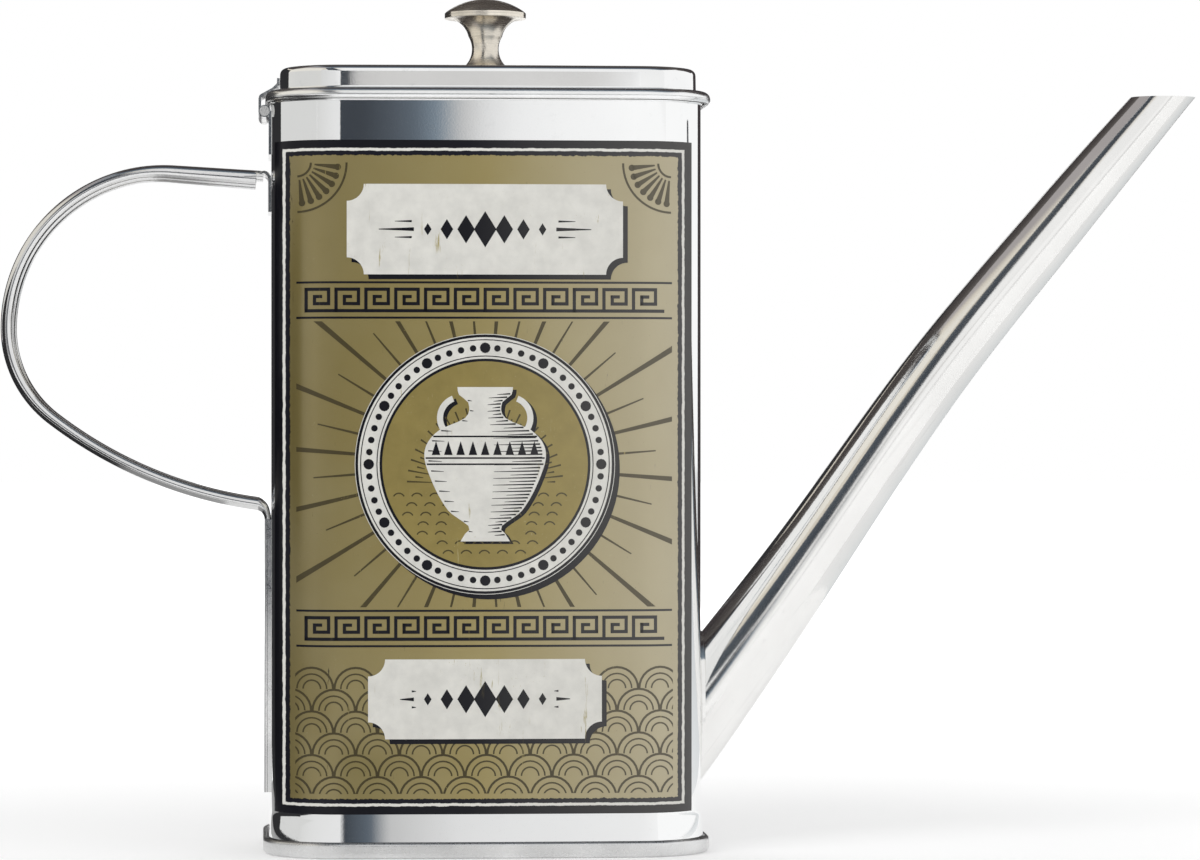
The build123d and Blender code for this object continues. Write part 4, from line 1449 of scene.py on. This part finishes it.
    def hatching(self, pen, sizes, field):
        """Engraver's lines down the jar's shaded side, and bands and teeth round its shoulder."""
        low = self.jar_foot(field)
        rows = 46
        for k in range(2, rows - 1):
            share = k / rows
            wide = self.jar_radius(share)
            z = low + self.JAR_HEIGHT * share
            thin, thick, drop = self.DARK_HATCH
            near, far = wide * (0.15 if k % 2 else 0.45), wide * 0.94
            pen.bar((field.middle + near, z - drop), (field.middle + far, z), thin, thick)
            if k % 3 == 0:
                thick, thin, drop = self.PALE_HATCH
                near = wide * 0.72
                pen.bar((field.middle - far, z), (field.middle - near, z - drop), thick, thin)
        for share in self.SHOULDER_SHARES:
            wide = self.jar_radius(share) * 0.98
            z = low + self.JAR_HEIGHT * share
            pen.bar((field.middle - wide, z), (field.middle + wide, z), self.SHOULDER_LINE)
        wide = self.jar_radius(0.6) * 0.92
        z = low + self.JAR_HEIGHT * 0.56
        for k in range(self.TEETH):
            x = field.middle - wide + 2 * wide * (k + 0.5) / self.TEETH
            pen.shape([(x - self.TOOTH_HALF, z), (x + self.TOOTH_HALF, z), (x, z + self.TOOTH_HEIGHT)])

    WAVE_PITCH, WAVE_RADIUS, WAVE_LINE = 3.4 * MM, 1.1 * MM, 0.26 * MM
    WAVE_DROP, WAVE_ROOM = 0.5 * MM, 0.8 * MM
    FINE_RAYS, FINE_RAY_ROOT, FINE_RAY_TIP = 44, 0.12 * MM, 0.34 * MM

    def sea(self, pen, sizes, field):
        """Rows of short waves behind the jar, and fine rays over them."""
        z = field.height("medallion")
        inner = sizes.medallion * 0.77
        step = self.WAVE_PITCH
        for row in range(7):
            level = z - inner * (0.32 + 0.095 * row)
            reach = sqrt(inner**2 - (level - z) ** 2) - self.WAVE_ROOM
            x = field.middle - reach + (row % 2) * step / 2
            while x + step * 0.5 < field.middle + reach:
                # The upper rows leave out what the jar hides
                if abs(x + step / 4 - field.middle) > self.JAR_HEIGHT * 0.2 or row > 4:
                    pen.band(x + step / 4, level - self.WAVE_DROP, self.WAVE_RADIUS, self.WAVE_LINE,
                             0.15 * pi, 0.7 * pi, 8)
                x += step
        centre = Vector((field.middle, z - inner * 0.2))
        for k in range(self.FINE_RAYS):
            angle = pi * (k + 0.5) / self.FINE_RAYS
            way = Vector((cos(angle), sin(angle)))
            near = centre + way * inner * (0.5 if k % 2 else 0.62)
            far = centre + way * inner * (0.78 if k % 2 else 0.7)
            pen.bar(near, far, self.FINE_RAY_ROOT, self.FINE_RAY_TIP)


class OILTIN_OT_stage(bpy.types.Operator):
    """Builds the camera, the pale floor, the soft light and the cards that the metal mirrors"""
    bl_idname = "oil_tin.stage"
    bl_label = "Stage"

    # Name, place, width in metres and power in watts of each lamp, and where they all aim
    LAMPS = (
        ("key_light", (-0.9, -1.0, 1.2), 1.1, 8),
        ("fill_light", (1.1, -0.9, 0.8), 1.2, 4),
        ("back_light", (0.2, 1.3, 1.1), 1.2, 6),
    )
    LAMP_AIM = Vector((0, 0, 80 * MM))
    FLOOR_HALF = 6
    # The floor's glow grows between these distances from the tin
    GLOW_START, GLOW_END = 120 * MM, 900 * MM

    def execute(self, context):
        stage = context.scene.tin_stage
        context.scene.view_settings.view_transform = "Standard"
        self.camera(context, stage)
        self.floor(context, stage)
        self.sky(context, stage)
        for row in self.LAMPS:
            self.lamp(context, *row)
        for row in self.cards():
            self.card(context, *row)
        return {"FINISHED"}

    def camera(self, context, stage):
        """Camera at the photograph's place."""
        data = bpy.data.cameras.new("camera")
        data.sensor_width = 36
        data.lens = stage.lens
        data.shift_x = stage.slide
        data.clip_start = 0.01
        camera = bpy.data.objects.new("camera", data)
        camera.location = (stage.eye_side, stage.eye_back, stage.eye_height)
        camera.rotation_euler = (pi / 2 + stage.tilt, 0, -stage.turn)
        context.scene.collection.objects.link(camera)
        context.scene.camera = camera

    def seen_straight(self, tree):
        """1 for rays from the camera and for mirrored and clear ones, and else 0."""
        path = node(tree, "ShaderNodeLightPath").outputs
        seen = maths(tree, "MAXIMUM", path["Is Camera Ray"], path["Is Glossy Ray"])
        return maths(tree, "MAXIMUM", seen, path["Is Transmission Ray"])

    def floor_glow(self, tree):
        """How much the floor glows: more away from the tin, and a little in the metal."""
        path = node(tree, "ShaderNodeLightPath").outputs
        straight = maths(tree, "MAXIMUM", path["Is Camera Ray"], path["Is Transmission Ray"])
        distance = node(
            tree, "ShaderNodeVectorMath", {0: place_of(tree)}, operation="LENGTH"
        ).outputs["Value"]
        lift = between(tree, distance, self.GLOW_START, self.GLOW_END, 0.22, 0.75)
        return maths(tree, "ADD", maths(tree, "MULTIPLY", straight, lift),
                     maths(tree, "MULTIPLY", path["Is Glossy Ray"], 0.25))

    def floor(self, context, stage):
        """A plain pale floor that takes the shadow."""
        bm = bmesh.new()
        bmesh.ops.create_grid(bm, x_segments=1, y_segments=1, size=self.FLOOR_HALF)
        mesh = mesh_from(bm, "floor")
        material = bpy.data.materials.new("floor_white")
        tree = bare_tree(material)
        matt = node(tree, "ShaderNodeBsdfDiffuse", {"Color": (*stage.floor, 1)})
        glow = node(tree, "ShaderNodeEmission", {
            "Color": (1, 1, 1, 1), "Strength": self.floor_glow(tree),
        })
        both = node(tree, "ShaderNodeAddShader", {0: matt.outputs[0], 1: glow.outputs[0]})
        node(tree, "ShaderNodeOutputMaterial", {"Surface": both.outputs[0]})
        mesh.materials.append(material)
        floor = bpy.data.objects.new("floor", mesh)
        context.scene.collection.objects.link(floor)

    def sky(self, context, stage):
        """White to the camera and in the metal, and softer on matt surfaces."""
        world = bpy.data.worlds.new("studio")
        tree = bare_tree(world)
        strength = between(tree, self.seen_straight(tree), 0, 1, stage.sky, 1.0)
        glow = node(tree, "ShaderNodeBackground", {"Color": (1, 1, 1, 1), "Strength": strength})
        node(tree, "ShaderNodeOutputWorld", {"Surface": glow.outputs[0]})
        context.scene.world = world

    def lamp(self, context, name, place, width, power):
        """A soft lamp that aims at the tin and doesn't show in the metal."""
        data = bpy.data.lights.new(name, "AREA")
        data.shape = "SQUARE"
        data.size = width
        data.energy = power
        lamp = bpy.data.objects.new(name, data)
        lamp.location = place
        aim = self.LAMP_AIM - Vector(place)
        lamp.rotation_euler = aim.to_track_quat("-Z", "Y").to_euler()
        lamp.visible_glossy = False
        context.scene.collection.objects.link(lamp)

    def cards(self):
        """Dark and tinted cards round the tin, seen only in the metal.

        Each row is a name, a corner and two sides in metres, and tones along the first side.
        """
        shade = [(0.045, 0.052, 0.064), (0.05, 0.058, 0.07), (0.08, 0.095, 0.115), (0.11, 0.135, 0.165)]
        shade += [(0.2, 0.25, 0.3)] + [(v, v, v) for v in (0.55, 0.76, 0.86, 0.94, 1.0)]
        shade_shares = (0, 0.15, 0.24, 0.31, 0.38, 0.455, 0.53, 0.605, 0.79, 1)
        dark = (0.05, 0.043, 0.045)
        black = (0.03, 0.03, 0.032)
        dusk = (0.4, 0.375, 0.375)
        warm = (0.72, 0.67, 0.58)
        ivory = (0.86, 0.83, 0.76)
        grey = (0.62, 0.62, 0.62)
        pale = (0.82, 0.82, 0.82)
        smoke = (0.7, 0.7, 0.69)
        return (
            # In front, low: soft dark shapes beside the camera, at the heights that the bands mirror
            ("band_card", (-0.095, -0.95, 0.185), (0.263, 0, 0), (0, 0, 0.05),
             list(zip(shade_shares, shade))),
            ("front_card", (-0.1, -0.95, -0.3), (0.36, 0, 0), (0, 0, 0.485),
             [(0, shade[0]), (0.25, shade[1]), (0.38, shade[4]), (0.5, shade[6]), (0.8, shade[9])]),
            ("skirt_card", (-0.2, -0.08, 0.0), (0.275, 0, 0), (0, 0, 0.0165),
             [(0, smoke), (0.612, pale), (0.617, shade[1]), (0.64, shade[3]), (0.655, shade[5]),
              (0.71, shade[6]), (0.84, shade[7]), (1, shade[8])]),
            # In front, high: a dark figure to the left of the camera before a warm wall
            ("lid_card", (-0.12, -0.95, 0.24), (0.054, 0, 0), (0, 0, 0.04),
             [(0, shade[0])]),
            ("lid_wall_card", (-0.066, -0.9505, 0.237), (0.266, 0, 0), (0, 0, 0.035),
             [(0, (0.64, 0.63, 0.62)), (0.75, (0.7, 0.69, 0.68)), (0.88, shade[7]), (1, shade[9])]),
            ("figure_card", (-0.5, -0.951, 0.42), (0.42, 0, -0.14), (-0.3, 0, 1.03),
             [(0, warm), (0.06, shade[2]), (0.92, shade[1]), (1, grey)]),
            ("wall_card", (-1.0, -0.97, 0.62), (2.3, 0, 0), (0, 0, 0.7),
             [(0, warm), (0.3, warm), (0.4, shade[8]), (1, shade[8])]),
            ("wall_low_card", (-1.0, -0.96, 0.235), (2.3, 0, 0), (0, 0, 0.385),
             [(0, smoke), (0.32, pale), (0.4, shade[8]), (1, shade[8])]),
            ("wall_foot_card", (-0.8, -0.96, 0.17), (0.71, 0, 0), (0, 0, 0.065),
             [(0, smoke), (1, pale)]),
            ("wall_floor_card", (-0.8, -0.96, -0.3), (0.71, 0, 0), (0, 0, 0.47),
             [(0, (0.5, 0.5, 0.5)), (1, (0.16, 0.16, 0.17))]),
            ("top_card", (-0.45, -0.96, 1.3), (0, 1.27, 0), (1.75, 0, 0),
             [(0, shade[4]), (0.4, shade[3]), (0.7, dark)]),
            ("top_left_card", (-1.5, -0.96, 1.45), (1.06, 0, 0), (0, 1.6, 0),
             [(0, dusk), (0.7, dusk), (1, shade[4])]),
            # Behind and above: the dark room over the backdrop
            ("high_card", (-1.6, 1.3, 0.6), (0, -0.99, 0.7), (3.2, 0, 0),
             [(0, dark), (0.6, (0.07, 0.062, 0.06)), (1, (0.12, 0.11, 0.105))]),
            # Left and right: a pale side with dusk above it, and the dark room beside the backdrop
            ("side_card", (-0.8, -0.95, -0.3), (0, 0, 1.8), (-0.55, 1.65, 0),
             [(0, smoke), (0.3, smoke), (0.42, ivory), (0.82, ivory), (0.89, warm), (0.96, dusk)]),
            ("left_card", (-1.35, 0.7, -0.4), (1.23, 0.55, 0), (0, 0, 1.15),
             [(0, black)]),
            ("left_high_card", (-1.35, 0.7, 0.75), (0, 0, 1.3), (1.23, 0.55, 0),
             [(0, warm), (0.46, warm), (0.58, dusk), (0.76, dusk), (0.86, dark)]),
            ("right_card", (0.75, 0.85, -0.4), (-0.59, 0.4, 0), (0, 0, 1.6),
             [(0, dark)]),
            ("back_card", (-0.9, 1.7, -0.2), (0, 0, 0.8), (1.8, 0, 0),
             [(0, (0.95, 0.95, 0.95)), (0.3, (0.9, 0.9, 0.9)), (0.6, (0.7, 0.7, 0.71)), (1, smoke)]),
            # Close to the handle: a dark side that stays below the lid, and dark ground
            ("near_card", (-0.125, -0.06, 0.06), (-0.375, 0.11, 0), (0, 0, 0.07),
             [(0, black)]),
            ("left_floor_card", (-1.3, -0.35, 0.001), (1.192, 0, 0), (0, 1.65, 0),
             [(0, black)]),
            ("handle_floor_card", (-0.108, -0.16, 0.0012), (0.044, 0, 0), (0, 0.3, 0),
             [(0, (0.3, 0.3, 0.3)), (1, (0.4, 0.4, 0.4))]),
            ("right_floor_card", (0.15, -0.05, 0.001), (0, 0.7, 0), (1.2, 0, 0),
             [(0, (0.88, 0.88, 0.88)), (0.25, (0.76, 0.78, 0.79)), (1, (0.58, 0.6, 0.61))]),
        )

    def card(self, context, name, corner, along, up, stops):
        """One flat card from a corner along two sides. Its tone runs along the first."""
        corner, along, up = Vector(corner), Vector(along), Vector(up)
        # The part of the first side that stands square to the second
        square = along - up * (along.dot(up) / up.length_squared)
        bm = bmesh.new()
        bmesh.ops.create_grid(bm, x_segments=1, y_segments=1, size=0.5)
        matrix = frame_of(along, up, along.cross(up), corner + (along + up) / 2)
        bmesh.ops.transform(bm, matrix=matrix, verts=bm.verts)
        mesh = mesh_from(bm, name)
        material = bpy.data.materials.new(name)
        tree = bare_tree(material)
        offset = node(tree, "ShaderNodeVectorMath", {0: place_of(tree), 1: corner}, operation="SUBTRACT")
        share = node(
            tree, "ShaderNodeVectorMath", {0: offset.outputs[0], 1: square / along.dot(square)},
            operation="DOT_PRODUCT",
        ).outputs["Value"]
        ramp = node(tree, "ShaderNodeValToRGB", {0: share})
        elements = ramp.color_ramp.elements
        elements.remove(elements[1])
        elements[0].position = stops[0][0]
        elements[0].color = (*stops[0][1], 1)
        for place, tone in stops[1:]:
            elements.new(place).color = (*tone, 1)
        glow = node(tree, "ShaderNodeEmission", {"Color": ramp.outputs[0], "Strength": 1.0})
        node(tree, "ShaderNodeOutputMaterial", {"Surface": glow.outputs[0]})
        mesh.materials.append(material)
        card = bpy.data.objects.new(name, mesh)
        for kind in ("camera", "diffuse", "transmission", "volume_scatter", "shadow"):
            setattr(card, "visible_" + kind, False)
        context.scene.collection.objects.link(card)


class OILTIN_PT_panel(bpy.types.Panel):
    """Lists the steps that build the tin"""
    bl_idname = "OILTIN_PT_panel"
    bl_label = "Oil Tin"
    bl_space_type = "VIEW_3D"
    bl_region_type = "UI"
    bl_category = "Oil Tin"

    def draw(self, context):
        for step in STEPS:
            self.layout.operator(step.bl_idname)
        for group in GROUPS:
            box = self.layout.box()
            settings = getattr(context.scene, group)
            for name in settings.bl_rna.properties.keys():
                if name not in ("rna_type", "name"):
                    box.prop(settings, name)


STEPS = (
    OILTIN_OT_stage,
    OILTIN_OT_body,
    OILTIN_OT_base,
    OILTIN_OT_lid,
    OILTIN_OT_knob,
    OILTIN_OT_fittings,
    OILTIN_OT_handle,
    OILTIN_OT_spout,
    OILTIN_OT_label,
)


def register():
    for group in GROUPS.values():
        bpy.utils.register_class(group)
    for step in STEPS:
        bpy.utils.register_class(step)
    bpy.utils.register_class(OILTIN_PT_panel)
    for name, group in GROUPS.items():
        setattr(bpy.types.Scene, name, PointerProperty(type=group))


def unregister():
    for name in GROUPS:
        delattr(bpy.types.Scene, name)
    bpy.utils.unregister_class(OILTIN_PT_panel)
    for step in reversed(STEPS):
        bpy.utils.unregister_class(step)
    for group in reversed(list(GROUPS.values())):
        bpy.utils.unregister_class(group)


def main():
    register()
    for step in STEPS:
        group, name = step.bl_idname.split(".")
        getattr(getattr(bpy.ops, group), name)()


if __name__ == "__main__":
    main()
